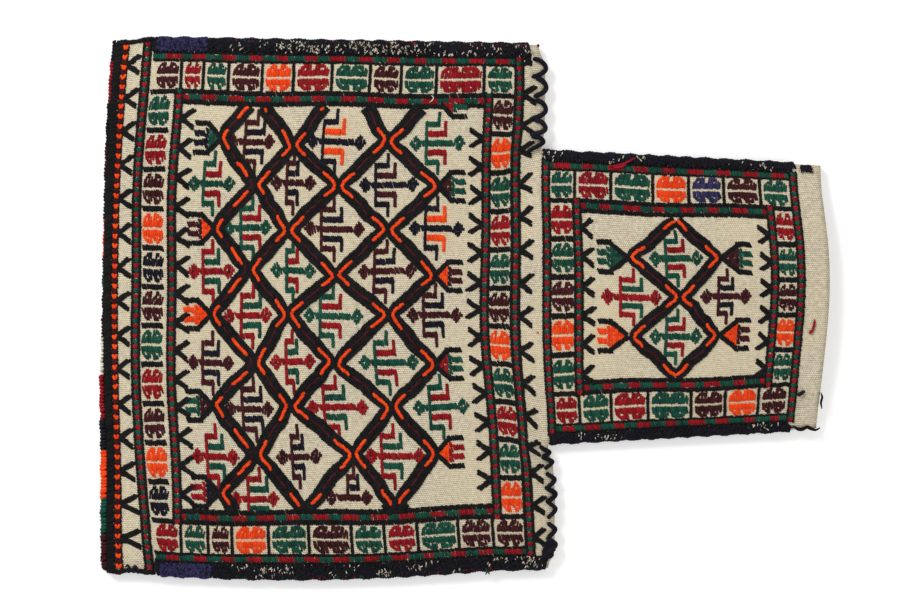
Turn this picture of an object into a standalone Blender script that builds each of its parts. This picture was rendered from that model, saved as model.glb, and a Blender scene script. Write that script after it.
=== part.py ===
"""A flat-woven wool salt bag, lying empty on its back with its neck towards +X. Metres, +Z up.

The bag is one strip of cloth, folded at the foot of the bag, so that its two layers are the front
and the back. Both are cut to a wide body and a narrow neck. Yarn stitched over the two edges closes
the sides, the shoulders carry an open zigzag stitch, and a braid of coloured yarns covers the fold.
The mouth, at the end of the neck, stays open. Wrapped yarn stands in relief on the front.

Sizes are laid out on the loom's square grid: u runs from the fold to the mouth, and v across the
cloth from the middle of the body. place() then pulls the grid in as the weaver's hand did.
"""

import math

import bmesh
import bpy
from mathutils import Vector
from mathutils.geometry import delaunay_2d_cdt

MM = 0.001

# The cloth and the yarn that sews it
CLOTH = 3.0 * MM  # thickness of one layer
LAYER_GAP = 0.3 * MM  # between the two layers where they are sewn
RELIEF = 0.8 * MM  # height of the wrapped yarn over the ground weave
SEAM_YARN = 1.0 * MM  # thickness of the stitching over an edge
CLEARANCE = 0.3 * MM  # between the cloth and what is stitched round it
POUCH_RISE = 7.0 * MM  # how far the empty bag's front stands up between its seams
RISE_REACH = 65 * MM  # distance from a seam to where the front is at full height
SAG_REACH = 14 * MM  # distance over which the back comes down from its seams

# The bands of the cloth from the fold to the mouth, with their widths
LENGTH_PLAN = {
    "fold_band": 2.8 * MM,
    "ember_stripe": 4.0 * MM,
    "foot_hooks": 9.6 * MM,
    "foot_stripe": 6.4 * MM,
    "foot_blocks_margin": 1.4 * MM,
    "foot_blocks": 14.2 * MM,
    "foot_blocks_end": 3.0 * MM,
    "field_foot_stripe": 6.2 * MM,
    "field": 212.2 * MM,
    "field_head_stripe": 6.0 * MM,
    "head_blocks": 14.6 * MM,
    "head_stripe": 6.8 * MM,
    "head_hooks": 15.4 * MM,
    "neck_foot_stripe": 5.8 * MM,
    "neck_foot_blocks": 16.0 * MM,
    "neck_field_foot_stripe": 6.2 * MM,
    "neck_field": 130.6 * MM,
    "neck_field_head_stripe": 5.6 * MM,
    "neck_head_blocks": 12.8 * MM,
    "neck_head_stripe": 5.6 * MM,
    "mouth_band": 17.2 * MM,
}

# The bands across the cloth, from the middle line outwards
BODY_PLAN = {"field": 140.4 * MM, "inner_stripe": 10.8 * MM, "blocks": 19.6 * MM, "outer_stripe": 7.3 * MM}
BODY_SEAM = 10.4 * MM  # how far the stitching reaches in over the front
NECK_PLAN = {"field": 56.0 * MM, "inner_stripe": 9.7 * MM, "blocks": 18.9 * MM, "outer_stripe": 6.4 * MM}
NECK_SEAM = 7.2 * MM
NECK_OFFSET = 6.6 * MM  # the neck stands off the body's middle line

# How the weaver's hand pulled the square grid in
FOOT_BOW = 8.5 * MM  # the fold's corners lie this far towards the mouth
HEAD_BOW = 7.0 * MM
HEAD_TILT = -5.0 * MM  # the shoulders are this far out of square
BODY_TAPER = 5.2 * MM  # each side of the body comes in by this much at the shoulder
THROAT_BOW = 2.2 * MM
THROAT_TILT = -2.2 * MM
THROAT_SPREAD = 4.6 * MM  # each side of the neck is this much wider at its root
MOUTH_BOW = -7.2 * MM
MOUTH_TILT = 1.5 * MM
MOUTH_TAPER = 5.4 * MM
THROAT_BLEND = 34 * MM  # the length below the shoulder over which the body's pull becomes the neck's
THROAT_FADE = 25 * MM  # and how far beside the neck the neck's pull fades

# The braid over the fold, from the upper corner down: yarn, length and the front's share of it
BRAID = (
    ("navy", 14 * MM), ("red", 29 * MM), ("black", 30 * MM), ("maroon", 22 * MM), ("navy", 29 * MM),
    ("orange", 26 * MM), ("green", 25 * MM), ("maroon", 30 * MM), ("white", 26 * MM), ("red", 30 * MM),
    ("navy", 21 * MM), ("orange", 33 * MM), ("green", 25 * MM), ("maroon", 24 * MM),
)
BRAID_FRONT_TOP = 0.4 * MM  # reach over the front at the upper corner
BRAID_FRONT_FOOT = 1.8 * MM  # reach over the front at the lower corner
BRAID_BACK = 5.0 * MM
VIOLET_START = 36 * MM  # the violet stretch of each side seam
VIOLET_END = 74 * MM
SEAM_STITCH = 15.0 * MM  # half a wave of the side seams
SEAM_WAVE = 0.3  # how much further the seam yarn stands out at a wave's crest
SHOULDER_STITCH = 13.0 * MM  # spacing of the open zigzag on the shoulders
SHOULDER_REACH = 6.5 * MM
SHOULDER_YARN = 2.2 * MM

# The figures of the front
LINE = 1.7 * MM  # a black line between blocks, and at the ends of a stripe
CROSS_CORE = 2.8 * MM  # the coloured middle of a stripe across the cloth
SIDE_CORE = 3.7 * MM  # and of a stripe along it
LATTICE_BAND = 8.2 * MM
LATTICE_CORE = 2.4 * MM
LATTICE_ELBOW = 3.0 * MM  # distance of a zigzag's elbow from the crossing
LATTICE_COLUMNS = (74.2 * MM, 101.8 * MM, 126.0 * MM, 159.8 * MM, 195.0 * MM, 228.1 * MM)
LATTICE_ROW = 30.9 * MM
LATTICE_FIRST_ROW = 24.8 * MM  # from the field's upper edge
NECK_COLUMNS = (358.2 * MM, 394.1 * MM, 424.4 * MM)
NECK_ROW = 27.0 * MM
HOOK_YARN = 3.0 * MM
HOOK_RISE = 6.6 * MM
BLOCK_GAP = 1.6 * MM  # ground between a block's halves
BLOCK_MARGIN = 1.2 * MM
BLOCK_CHAMFER = 4.2 * MM
BAR_YARN = 4.4 * MM
KNOB = 10.6 * MM
KNOB_LENGTH = 7.0 * MM
STEM_YARN = 2.4 * MM
OUTER_HOOK = (13.0 * MM, 20.5 * MM)  # distance of its root and its tip from the bar's middle
OUTER_SHARE = 0.62  # its reach as a share of the inner hook's
INNER_HOOK = (6.0 * MM, 13.5 * MM)
FINGER_YARN = 3.4 * MM
HAND_REACH = 15.4 * MM
HAND_HALF = 11.0 * MM
GRID = 50 * MM  # longest edge of the faceted cloth
MOUTH_STEP = 25 * MM  # and along its curved mouth

# One figure per column of the lattice: its place beside the column, half its bar, then its stem
# and its inner hook from the bar's middle
FIGURES = (
    (-1.0 * MM, 16.0 * MM, -5.6 * MM, 6.3 * MM), (-3.0 * MM, 17.2 * MM, -4.4 * MM, 9.6 * MM),
    (4.2 * MM, 15.4 * MM, -4.6 * MM, 3.8 * MM), (-1.5 * MM, 20.6 * MM, -9.2 * MM, 5.8 * MM),
    (0.0 * MM, 20.2 * MM, -9.2 * MM, 5.2 * MM), (-2.0 * MM, 19.0 * MM, -7.8 * MM, 6.4 * MM),
)
NECK_FIGURES = (
    (0.0 * MM, 20.6 * MM, -7.6 * MM, 7.9 * MM), (-2.0 * MM, 18.2 * MM, -6.9 * MM, 6.2 * MM),
    (2.0 * MM, 17.6 * MM, -5.2 * MM, 5.5 * MM),
)
# Bar and hook yarns of the figures, row by row from the top of the field
FIGURE_YARNS = (
    ("maroon navy", "navy orange", "green red"), ("green red", "maroon navy", "navy maroon"),
    ("green red", "maroon navy", "navy orange"), ("red green", "green red", "maroon navy"),
    ("red green", "green red", "maroon navy"), ("maroon navy", "red green", "green red"),
    ("maroon navy", "red green", "green red"), ("red green", "maroon navy", "red green"),
    ("red green", "maroon navy"),
)
NECK_FIGURE_YARNS = (("green red",), ("red green", "maroon navy"), ("green red",))
LEFT_HANDS = ("navy", "maroon", "orange", "green", "red")
RIGHT_HANDS = ("green", "green", "maroon", "green", "red")
NECK_HANDS = (("green", "green"), ("orange", "maroon"))

# Blocks of the borders: yarn and share of the border's length, from the fold, or from the top down
UPPER_BLOCKS = (
    ("maroon", 26), ("red", 22), ("green", 25), ("maroon", 33), ("orange", 31), ("red", 38),
    ("green", 38), ("maroon", 31), ("green", 35), ("red", 47), ("green", 30),
)
LOWER_BLOCKS = (
    ("red", 26), ("green", 27), ("maroon", 24), ("orange", 37), ("green", 41), ("maroon", 43),
    ("green", 33), ("red", 33), ("green", 41), ("maroon", 37), ("maroon", 34),
)
FOOT_BLOCKS = ("green", "red", "maroon", "orange", "navy", "maroon", "green", "red", "maroon", "orange", "navy")
HEAD_BLOCKS = ("maroon", "orange", "green", "red", "green", "maroon", "orange", "green", "red", "green", "orange")
NECK_UPPER_BLOCKS = (
    ("green", 25), ("red", 36), ("green", 42), ("orange", 36), ("violet", 35), ("maroon", 36), ("green", 30),
)
NECK_LOWER_BLOCKS = (
    ("red", 25), ("green", 32), ("red", 37), ("green", 43), ("maroon", 34), ("orange", 33), ("maroon", 30),
)
NECK_FOOT_BLOCKS = ("red", "green", "maroon", "orange", "green")
NECK_HEAD_BLOCKS = ("red", "green", "maroon", "orange", "green")

# Hooks: the band that they stand in, which side they spring from, their reach and their spacing
BODY_HOOKS = (
    ("foot_hooks", 1, 9.0 * MM, 23.6 * MM), ("field", 1, 8.4 * MM, 20.2 * MM),
    ("field", -1, 8.0 * MM, 20.0 * MM), ("head_hooks", 1, 7.0 * MM, 22.8 * MM),
)
NECK_HOOKS = (("neck_field", 1, 8.4 * MM, 19.4 * MM), ("neck_field", -1, 7.6 * MM, 18.8 * MM))

YARNS = {
    "ground": (0.60, 0.53, 0.41), "black": (0.013, 0.012, 0.013), "navy": (0.016, 0.015, 0.030),
    "violet": (0.030, 0.026, 0.095), "red": (0.36, 0.014, 0.018), "maroon": (0.070, 0.014, 0.020),
    "green": (0.012, 0.085, 0.052), "orange": (0.85, 0.075, 0.010), "white": (0.66, 0.65, 0.60),
}


def running_edges(plan, start=0.0):
    """Where each band of a plan starts and ends."""
    edges = {}
    for name, width in plan.items():
        edges[name] = (start, start + width)
        start += width
    return edges


BANDS = running_edges(LENGTH_PLAN)
BODY_BANDS = running_edges(BODY_PLAN)
NECK_BANDS = running_edges(NECK_PLAN)
SHOULDER = BANDS["head_hooks"][1]
MOUTH = BANDS["mouth_band"][1]
EDGE_BUILD = SEAM_YARN + CLEARANCE  # what the stitching adds outside the cloth
BODY_EDGE = BODY_BANDS["outer_stripe"][1] + BODY_SEAM - EDGE_BUILD
NECK_EDGE = NECK_BANDS["outer_stripe"][1] + NECK_SEAM - EDGE_BUILD
FOLD_RADIUS = CLOTH + LAYER_GAP / 2
EDGE_MIDDLE = EDGE_BUILD + FOLD_RADIUS  # height of the gap between the layers at a seam


def smooth(share):
    """0 to 1 with soft ends."""
    t = min(1.0, max(0.0, share))
    return t * t * (3 - 2 * t)


def pulled(u, v):
    """The plan position, from the fold's middle, of a point of the loom's grid."""
    across = v / BODY_EDGE
    along = min(1.0, max(0.0, u / SHOULDER))
    bow = FOOT_BOW + (HEAD_BOW - FOOT_BOW) * along
    body = (
        u + bow * (1 - math.cos(math.pi * across)) / 2 + HEAD_TILT * along * across,
        v - BODY_TAPER * along * across,
    )
    across = min(1.0, max(-1.0, (v - NECK_OFFSET) / NECK_EDGE))
    along = min(1.0, max(0.0, (u - SHOULDER) / (MOUTH - SHOULDER)))
    bow = THROAT_BOW + (MOUTH_BOW - THROAT_BOW) * along
    tilt = THROAT_TILT + (MOUTH_TILT - THROAT_TILT) * along
    neck = (
        u + bow * (1 - math.cos(math.pi * across)) / 2 + tilt * across,
        v + (THROAT_SPREAD - (THROAT_SPREAD + MOUTH_TAPER) * along) * across,
    )
    share = smooth((u - SHOULDER + THROAT_BLEND) / THROAT_BLEND)
    share *= 1 - smooth((abs(v - NECK_OFFSET) - NECK_EDGE) / THROAT_FADE)
    return tuple(b + (n - b) * share for b, n in zip(body, neck))


# The frame's origin is under the middle of the bag: halfway from the braid to the mouth
CENTRE_U = (pulled(MOUTH, NECK_OFFSET)[0] - FOLD_RADIUS - EDGE_BUILD) / 2


def place(u, v, height):
    """A point of the grid, at a height over the table, in the bag's frame."""
    x, y = pulled(u, v)
    return Vector((x - CENTRE_U, y, height))


def edge_distance(u, v):
    """How far a point of the grid is from the nearest closed edge."""
    side = NECK_EDGE - abs(v - NECK_OFFSET)
    if u > SHOULDER:
        return max(0.0, side)
    to_shoulder = math.hypot(SHOULDER - u, side) if side > 0 else SHOULDER - u
    return max(0.0, min(u, BODY_EDGE - abs(v), to_shoulder))


def back_level(distance):
    """Height of the underside. The back hangs down to the table between its seams."""
    inside = distance - BODY_SEAM - SEAM_YARN
    return EDGE_BUILD * (1 - smooth(inside / SAG_REACH))


def front_level(distance):
    """Height of the front's ground weave, which the pouch swells up inside its seams."""
    swell = math.sin(math.pi / 2 * min(1.0, distance / RISE_REACH))
    return EDGE_BUILD + 2 * CLOTH + LAYER_GAP + POUCH_RISE * swell


def back_face(u, v):
    return back_level(edge_distance(u, v))


def back_lining(u, v):
    return back_face(u, v) + CLOTH


def front_face(u, v):
    return front_level(edge_distance(u, v))


def front_lining(u, v):
    return front_face(u, v) - CLOTH


def divided(points, closed=False, step=GRID):
    """The same line with no step longer than the given one."""
    ends = points[1:] + points[:1] if closed else points[1:]
    line = []
    for a, b in zip(points, ends):
        count = max(1, math.ceil(math.dist(a, b) / step - 1e-6))
        line += [(a[0] + (b[0] - a[0]) * k / count, a[1] + (b[1] - a[1]) * k / count) for k in range(count)]
    return line if closed else line + [points[-1]]


def rectangle(u0, u1, v0, v1):
    return divided([(u0, v0), (u1, v0), (u1, v1), (u0, v1)], closed=True)


def stroke(points, width):
    """The outline of a line of yarn of that width, mitred at its corners."""
    left, right = [], []
    for k, (u, v) in enumerate(points):
        before = Vector(points[k]) - Vector(points[k - 1]) if k else None
        after = Vector(points[k + 1]) - Vector(points[k]) if k + 1 < len(points) else None
        before = (before or after).normalized()
        after = (after or before).normalized()
        across = Vector((-before.y - after.y, before.x + after.x)).normalized()
        across *= width / 2 / max(0.35, across.dot(Vector((-after.y, after.x))))
        left.append((u + across.x, v + across.y))
        right.append((u - across.x, v - across.y))
    return right + left[::-1]


def stripe(u0, u1, v0, v1, core, yarn):
    """A black stripe with a line of coloured yarn along its middle."""
    outline = rectangle(u0, u1, v0, v1)
    middle_u, middle_v = (u0 + u1) / 2, (v0 + v1) / 2
    inside = []
    for u, v in outline:
        if u1 - u0 > v1 - v0:
            u, v = min(max(u, u0 + LINE), u1 - LINE), middle_v + math.copysign(core / 2, v - middle_v)
        else:
            u, v = middle_u + math.copysign(core / 2, u - middle_u), min(max(v, v0 + LINE), v1 - LINE)
        inside.append((u, v))
    return [("black", outline), (yarn, inside)]


def cross_stripe(band, v0, v1):
    """A stripe across the cloth, in one band of the length plan."""
    return stripe(*BANDS[band], v0, v1, CROSS_CORE, "red")


def side_stripe(edges, offset, side, u0, u1):
    """A stripe along the cloth, above (side 1) or below (side -1) the middle line."""
    return stripe(u0, u1, *sorted(offset + side * edge for edge in edges), SIDE_CORE, "green")


def block(yarn, u0, u1, v0, v1):
    """A block of two halves, each chamfered on its outer side, round a slit of ground."""
    u0, u1 = u0 + BLOCK_MARGIN, u1 - BLOCK_MARGIN
    v0, v1 = v0 + BLOCK_MARGIN / 2, v1 - BLOCK_MARGIN / 2
    middle = (v0 + v1) / 2
    cut = min(BLOCK_CHAMFER, (u1 - u0) / 4)
    upper = middle + BLOCK_GAP / 2
    lower = middle - BLOCK_GAP / 2
    return [
        (yarn, [(u0, upper), (u1, upper), (u1 - cut, v1), (u0 + cut, v1)]),
        (yarn, [(u0 + cut, v0), (u1 - cut, v0), (u1, lower), (u0, lower)]),
    ]


def block_row(blocks, u0, u1, v0, v1):
    """Blocks along the cloth, with a black line between one and the next."""
    shapes = []
    total = sum(share for _, share in blocks)
    start = u0
    for k, (yarn, share) in enumerate(blocks):
        end = start + (u1 - u0) * share / total
        shapes += block(yarn, start + LINE / 2, end - LINE / 2, v0, v1)
        if k + 1 < len(blocks):
            shapes.append(("black", rectangle(end - LINE / 2, end + LINE / 2, v0 - LINE / 2, v1 + LINE / 2)))
        start = end
    return shapes


def block_column(yarns, u0, u1, v0, v1):
    """Blocks across the cloth, from the top down, with black lines between them."""
    shapes = []
    step = (v1 - v0) / len(yarns)
    for k, yarn in enumerate(yarns):
        top = v1 - step * k
        shapes += block(yarn, u0, u1, top - step + LINE, top - LINE)
        if k:
            shapes.append(("black", rectangle(u0, u1, top - LINE * 0.8, top + LINE * 0.8)))
    return shapes


def hooks(band, side, reach, pitch, offset, half):
    """A row of hooks that spring in pairs of arms from a stripe's edge."""
    u0, u1 = BANDS[band]
    root = (u0 - LINE / 2) if side > 0 else (u1 + LINE / 2)
    count = int((2 * half - pitch / 2) / pitch)
    shapes = []
    for k in range(count):
        v = offset + ((count - 1) / 2 - k) * pitch
        arms = [(root + side * reach, v + HOOK_RISE), (root, v), (root + side * reach, v - HOOK_RISE)]
        shapes.append(("black", stroke(arms, HOOK_YARN)))
    return shapes


def figure(u, v, size, yarns, upper_only=False):
    """A barred figure: a knobbed bar, a stem behind it and two pairs of hooks."""
    bar, hook = yarns.split()
    shift, half, stem, inner = size
    u += shift
    neck = half - KNOB_LENGTH
    outline = [(half, 0), (half - KNOB_LENGTH / 2, KNOB / 2), (neck, BAR_YARN / 2)]
    outline += [(-a, b) for a, b in reversed(outline[1:])] + [(-half, 0)]
    outline += [(a, -b) for a, b in reversed(outline[1:-1])]
    outer = stem + (inner - stem) * OUTER_SHARE
    bracket = [(outer, OUTER_HOOK[1]), (stem, OUTER_HOOK[0])]
    bracket += [(stem, 0)] if upper_only else [(a, -b) for a, b in reversed(bracket)]
    shapes = [(bar, stroke(bracket, STEM_YARN))]
    for side in (1, -1)[: 1 if upper_only else 2]:
        arm = [(stem, side * INNER_HOOK[0]), (inner, side * INNER_HOOK[1])]
        shapes.append((hook, stroke(arm, STEM_YARN)))
    shapes.append((bar, outline))
    return [(yarn, [(u + a, v + b) for a, b in points]) for yarn, points in shapes]


def hand(u, v, side, yarn):
    """Two bent arms from a crossing of the lattice, round two fingers."""
    wrist = HAND_REACH * 0.42
    shapes = []
    for way in (1, -1):
        arm = [(u, v), (u + side * wrist, v + way * HAND_HALF), (u + side * HAND_REACH, v + way * HAND_HALF)]
        shapes.append(("black", stroke(arm, FINGER_YARN)))
    for way in (1, -1):
        finger = [(u + side * wrist, v + way * HAND_HALF / 3), (u + side * HAND_REACH, v + way * HAND_HALF / 3)]
        shapes.append((yarn, stroke(finger, FINGER_YARN)))
    return shapes


def lattice(columns, row_heights, foot, head):
    """Zigzags between the columns, which touch at the crossings and run into the stripes at both ends."""
    shapes, cores = [], []
    for k, (left, right) in enumerate(zip(columns, columns[1:])):
        elbows = (left + LATTICE_ELBOW, right - LATTICE_ELBOW)
        line = [(elbows[(row + k + 1) % 2], v) for row, v in enumerate(row_heights)]
        line = clipped(line, foot, head)
        shapes.append(("black", stroke(line, LATTICE_BAND)))
        cores.append(("orange", stroke(line, LATTICE_CORE)))
    return shapes + cores


def clipped(line, foot, head):
    """The part of a falling zigzag between two heights."""
    points = []
    for (u0, v0), (u1, v1) in zip(line, line[1:]):
        if v0 > head > v1:
            points.append((u0 + (u1 - u0) * (v0 - head) / (v0 - v1), head))
        if foot < v0 <= head:
            points.append((u0, v0))
        if v0 > foot > v1:
            points.append((u0 + (u1 - u0) * (v0 - foot) / (v0 - v1), foot))
    if foot <= line[-1][1] <= head:
        points.append(line[-1])
    return points


def body_figures():
    """Everything in relief on the front of the body. Later shapes lie over earlier ones."""
    edges, half = BODY_BANDS, BODY_BANDS["field"][1]
    outer, block_out, block_in = edges["outer_stripe"][1], edges["blocks"][1], edges["blocks"][0]
    beside_braid = [outer] + [v for v in braid_marks() if abs(v) < outer] + [-outer]
    reach = [(braid_reach(v) + 2 * CLEARANCE, v) for v in beside_braid]
    end = BANDS["ember_stripe"][1]
    shapes = [("black", reach + divided([(end, -outer), (end, outer)]))]
    start = max(BANDS["ember_stripe"][0] + LINE / 2, reach[-1][0] + LINE / 2)
    shapes.append(("orange", rectangle(start, end - LINE / 2, -outer + LINE, outer - LINE)))
    shapes += cross_stripe("foot_stripe", -outer, outer)
    shapes += cross_stripe("head_stripe", -outer, outer)
    for band in ("field_foot_stripe", "field_head_stripe"):
        shapes += cross_stripe(band, -block_in, block_in)
    foot_u, head_u = BANDS["foot_blocks"][0], BANDS["head_stripe"][0]
    for side in (1, -1):
        shapes += side_stripe(edges["outer_stripe"], 0, side, foot_u, BANDS["head_stripe"][1])
        field = BANDS["field_foot_stripe"][0], BANDS["field_head_stripe"][1]
        shapes += side_stripe(edges["inner_stripe"], 0, side, *field)
        bar = sorted((side * block_in, side * (block_in - 2 * LINE)))
        shapes.append(("black", rectangle(foot_u, field[0] + LINE, *bar)))
        shapes.append(("black", rectangle(field[1] - LINE, head_u + LINE, *bar)))
    shapes += block_row(UPPER_BLOCKS, foot_u, head_u, block_in, block_out)
    shapes += block_row(LOWER_BLOCKS, foot_u, head_u, -block_out, -block_in)
    shapes += block_column(FOOT_BLOCKS, *BANDS["foot_blocks"], -block_in + LINE, block_in - LINE)
    shapes += block_column(HEAD_BLOCKS, *BANDS["head_blocks"], -block_in + LINE, block_in - LINE)
    rows = [half - LATTICE_FIRST_ROW + LATTICE_ROW * (1 - k) for k in range(12)]
    for band, side, reach, pitch in BODY_HOOKS:
        shapes += hooks(band, side, reach, pitch, 0, half if band == "field" else outer)
    for row, yarns in enumerate(FIGURE_YARNS, 1):
        columns = range(row % 2, len(LATTICE_COLUMNS), 2)
        last = row == len(FIGURE_YARNS)
        for column, pair in zip(columns, yarns):
            shapes += figure(LATTICE_COLUMNS[column], rows[row], FIGURES[column], pair, upper_only=last)
    shapes += lattice(LATTICE_COLUMNS, rows, -half - LINE, half + LINE)
    for k, yarn in enumerate(LEFT_HANDS):
        shapes += hand(LATTICE_COLUMNS[0], rows[2 * k + 1], -1, yarn)
    for k, yarn in enumerate(RIGHT_HANDS[1:], 1):
        shapes += hand(LATTICE_COLUMNS[-1], rows[2 * k], 1, yarn)
    return shapes


def neck_figures():
    """Everything in relief on the front of the neck."""
    edges, half = NECK_BANDS, NECK_BANDS["field"][1]
    outer, block_out, block_in = edges["outer_stripe"][1], edges["blocks"][1], edges["blocks"][0]
    middle = NECK_OFFSET
    shapes = cross_stripe("neck_foot_stripe", middle - outer, middle + outer)
    shapes += cross_stripe("neck_head_stripe", middle - outer, middle + outer)
    for band in ("neck_field_foot_stripe", "neck_field_head_stripe"):
        shapes += cross_stripe(band, middle - block_in, middle + block_in)
    foot_u, head_u = BANDS["neck_foot_blocks"][0], BANDS["neck_head_stripe"][0]
    for side in (1, -1):
        ends = BANDS["neck_foot_stripe"][0], BANDS["neck_head_stripe"][1]
        shapes += side_stripe(edges["outer_stripe"], middle, side, *ends)
        field = BANDS["neck_field_foot_stripe"][0], BANDS["neck_field_head_stripe"][1]
        shapes += side_stripe(edges["inner_stripe"], middle, side, *field)
        bar = sorted((middle + side * block_in, middle + side * (block_in - 2 * LINE)))
        shapes.append(("black", rectangle(foot_u - LINE, field[0] + LINE, *bar)))
        shapes.append(("black", rectangle(field[1] - LINE, head_u + LINE, *bar)))
    shapes += block_row(NECK_UPPER_BLOCKS, foot_u, head_u, middle + block_in, middle + block_out)
    shapes += block_row(NECK_LOWER_BLOCKS, foot_u, head_u, middle - block_out, middle - block_in)
    inside = middle - block_in + LINE, middle + block_in - LINE
    shapes += block_column(NECK_FOOT_BLOCKS, *BANDS["neck_foot_blocks"], *inside)
    shapes += block_column(NECK_HEAD_BLOCKS, *BANDS["neck_head_blocks"], *inside)
    for band, side, reach, pitch in NECK_HOOKS:
        shapes += hooks(band, side, reach, pitch, middle, half)
    rows = [middle + NECK_ROW * (2 - k) for k in range(5)]
    middle_u = NECK_COLUMNS[1]
    shapes += figure(middle_u, rows[1], NECK_FIGURES[1], NECK_FIGURE_YARNS[0][0])
    for column, pair in zip((0, 2), NECK_FIGURE_YARNS[1]):
        shapes += figure(NECK_COLUMNS[column], rows[2], NECK_FIGURES[column], pair)
    shapes += figure(middle_u, rows[3], NECK_FIGURES[1], NECK_FIGURE_YARNS[2][0])
    shapes += [(yarn, points) for yarn, points in lattice_ring(rows)]
    for row, pair in zip((1, 3), NECK_HANDS):
        for column, side, yarn in zip((0, -1), (-1, 1), pair):
            shapes += hand(NECK_COLUMNS[column], rows[row], side, yarn)
    return shapes


def lattice_ring(rows):
    """The neck's two diamonds: one zigzag on each side of its middle column."""
    shapes, cores = [], []
    left, middle, right = NECK_COLUMNS
    for outside, side in ((left, -1), (right, 1)):
        inside = middle + side * LATTICE_ELBOW
        line = [(outside if row % 2 else inside, v) for row, v in enumerate(rows)]
        shapes.append(("black", stroke(line, LATTICE_BAND)))
        cores.append(("orange", stroke(line, LATTICE_CORE)))
    return shapes + cores


def braid_reach(v):
    """How far the braid comes over the front. It rides further round the fold towards the lower corner."""
    share = (v + BODY_EDGE) / (2 * BODY_EDGE)
    return BRAID_FRONT_FOOT + (BRAID_FRONT_TOP - BRAID_FRONT_FOOT) * min(1.0, max(0.0, share))


def sewn_rim():
    """The cloth's open edges, from the fold's lower corner round the mouth to its upper corner."""
    low, high = NECK_OFFSET - NECK_EDGE, NECK_OFFSET + NECK_EDGE
    lower = divided([(0, -BODY_EDGE), (SHOULDER, -BODY_EDGE), (SHOULDER, low), (MOUTH, low)])
    mouth = divided([(MOUTH, low), (MOUTH, high)], step=MOUTH_STEP)
    upper = divided([(MOUTH, high), (SHOULDER, high), (SHOULDER, BODY_EDGE), (0, BODY_EDGE)])
    return lower + mouth[1:-1] + upper


def net():
    """A net of points inside the outline, so that a plain face of the cloth can curve."""
    points = []
    for i in range(1, int(MOUTH / GRID) + 1):
        for j in range(-int(BODY_EDGE / GRID), int(BODY_EDGE / GRID) + 1):
            u, v = i * GRID, j * GRID
            inside = u < SHOULDER or abs(v - NECK_OFFSET) < NECK_EDGE
            if inside and edge_distance(u, v) > GRID / 4 and u < MOUTH - GRID / 4:
                points.append((u, v))
    return points


def creases():
    """The lines where the back leaves the level of its seams, and where it reaches the table."""
    lines = []
    for inset in (BODY_SEAM + SEAM_YARN, BODY_SEAM + SEAM_YARN + SAG_REACH):
        slant = inset * math.sqrt(0.5)
        throat = [
            (MOUTH - CLOTH, NECK_EDGE - inset), (SHOULDER, NECK_EDGE - inset),
            (SHOULDER - slant, NECK_EDGE - slant), (SHOULDER - inset, NECK_EDGE),
        ]
        half = BODY_EDGE - inset
        upper = [(u, NECK_OFFSET + v) for u, v in throat] + [(SHOULDER - inset, half), (inset, half)]
        lower = [(u, NECK_OFFSET - v) for u, v in throat] + [(SHOULDER - inset, -half), (inset, -half)]
        lines.append(divided(upper + lower[::-1]))
    return lines


def lay_sheet(mesh, outline, shapes, points_inside, lines_inside, height, materials):
    """One face of the cloth: its outline filled with triangles, and the shapes on it raised in relief."""
    points = list(outline)
    faces = [list(range(len(outline)))]
    for _, shape in shapes:
        faces.append(list(range(len(points), len(points) + len(shape))))
        points += shape
    edges = []
    for line in lines_inside:
        edges += [(len(points) + k, len(points) + k + 1) for k in range(len(line) - 1)]
        points += line
    points += points_inside
    plan = delaunay_2d_cdt([Vector(p) for p in points], edges, faces, 1, 0.02 * MM, True)
    flat, _, triangles, first_points, _, sources = plan
    verts = [mesh.verts.new(place(p.x, p.y, height(p.x, p.y))) for p in flat]
    raised = []
    for triangle, owners in zip(triangles, sources):
        if 0 not in owners:
            continue
        face = mesh.faces.new([verts[k] for k in triangle])
        face.smooth = not shapes
        if max(owners) > 0:
            face.material_index = materials.index(shapes[max(owners) - 1][0])
            raised.append(face)
    slot = {k: vert for vert, owners in zip(verts, first_points) for k in owners}
    if raised:
        region = bmesh.ops.extrude_face_region(mesh, geom=raised)["geom"]
        lifted = [e for e in region if isinstance(e, bmesh.types.BMVert)]
        bmesh.ops.translate(mesh, verts=lifted, vec=(0, 0, RELIEF))
        old = [face for face in raised if face.is_valid]
        bmesh.ops.delete(mesh, geom=old, context="FACES")
    return [slot[k] for k in range(len(outline))]


def bridge(mesh, first, second):
    """A strip of faces between two rows of vertices."""
    for a, b, c, d in zip(first, first[1:], second[1:], second):
        mesh.faces.new((a, b, c, d))


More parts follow.
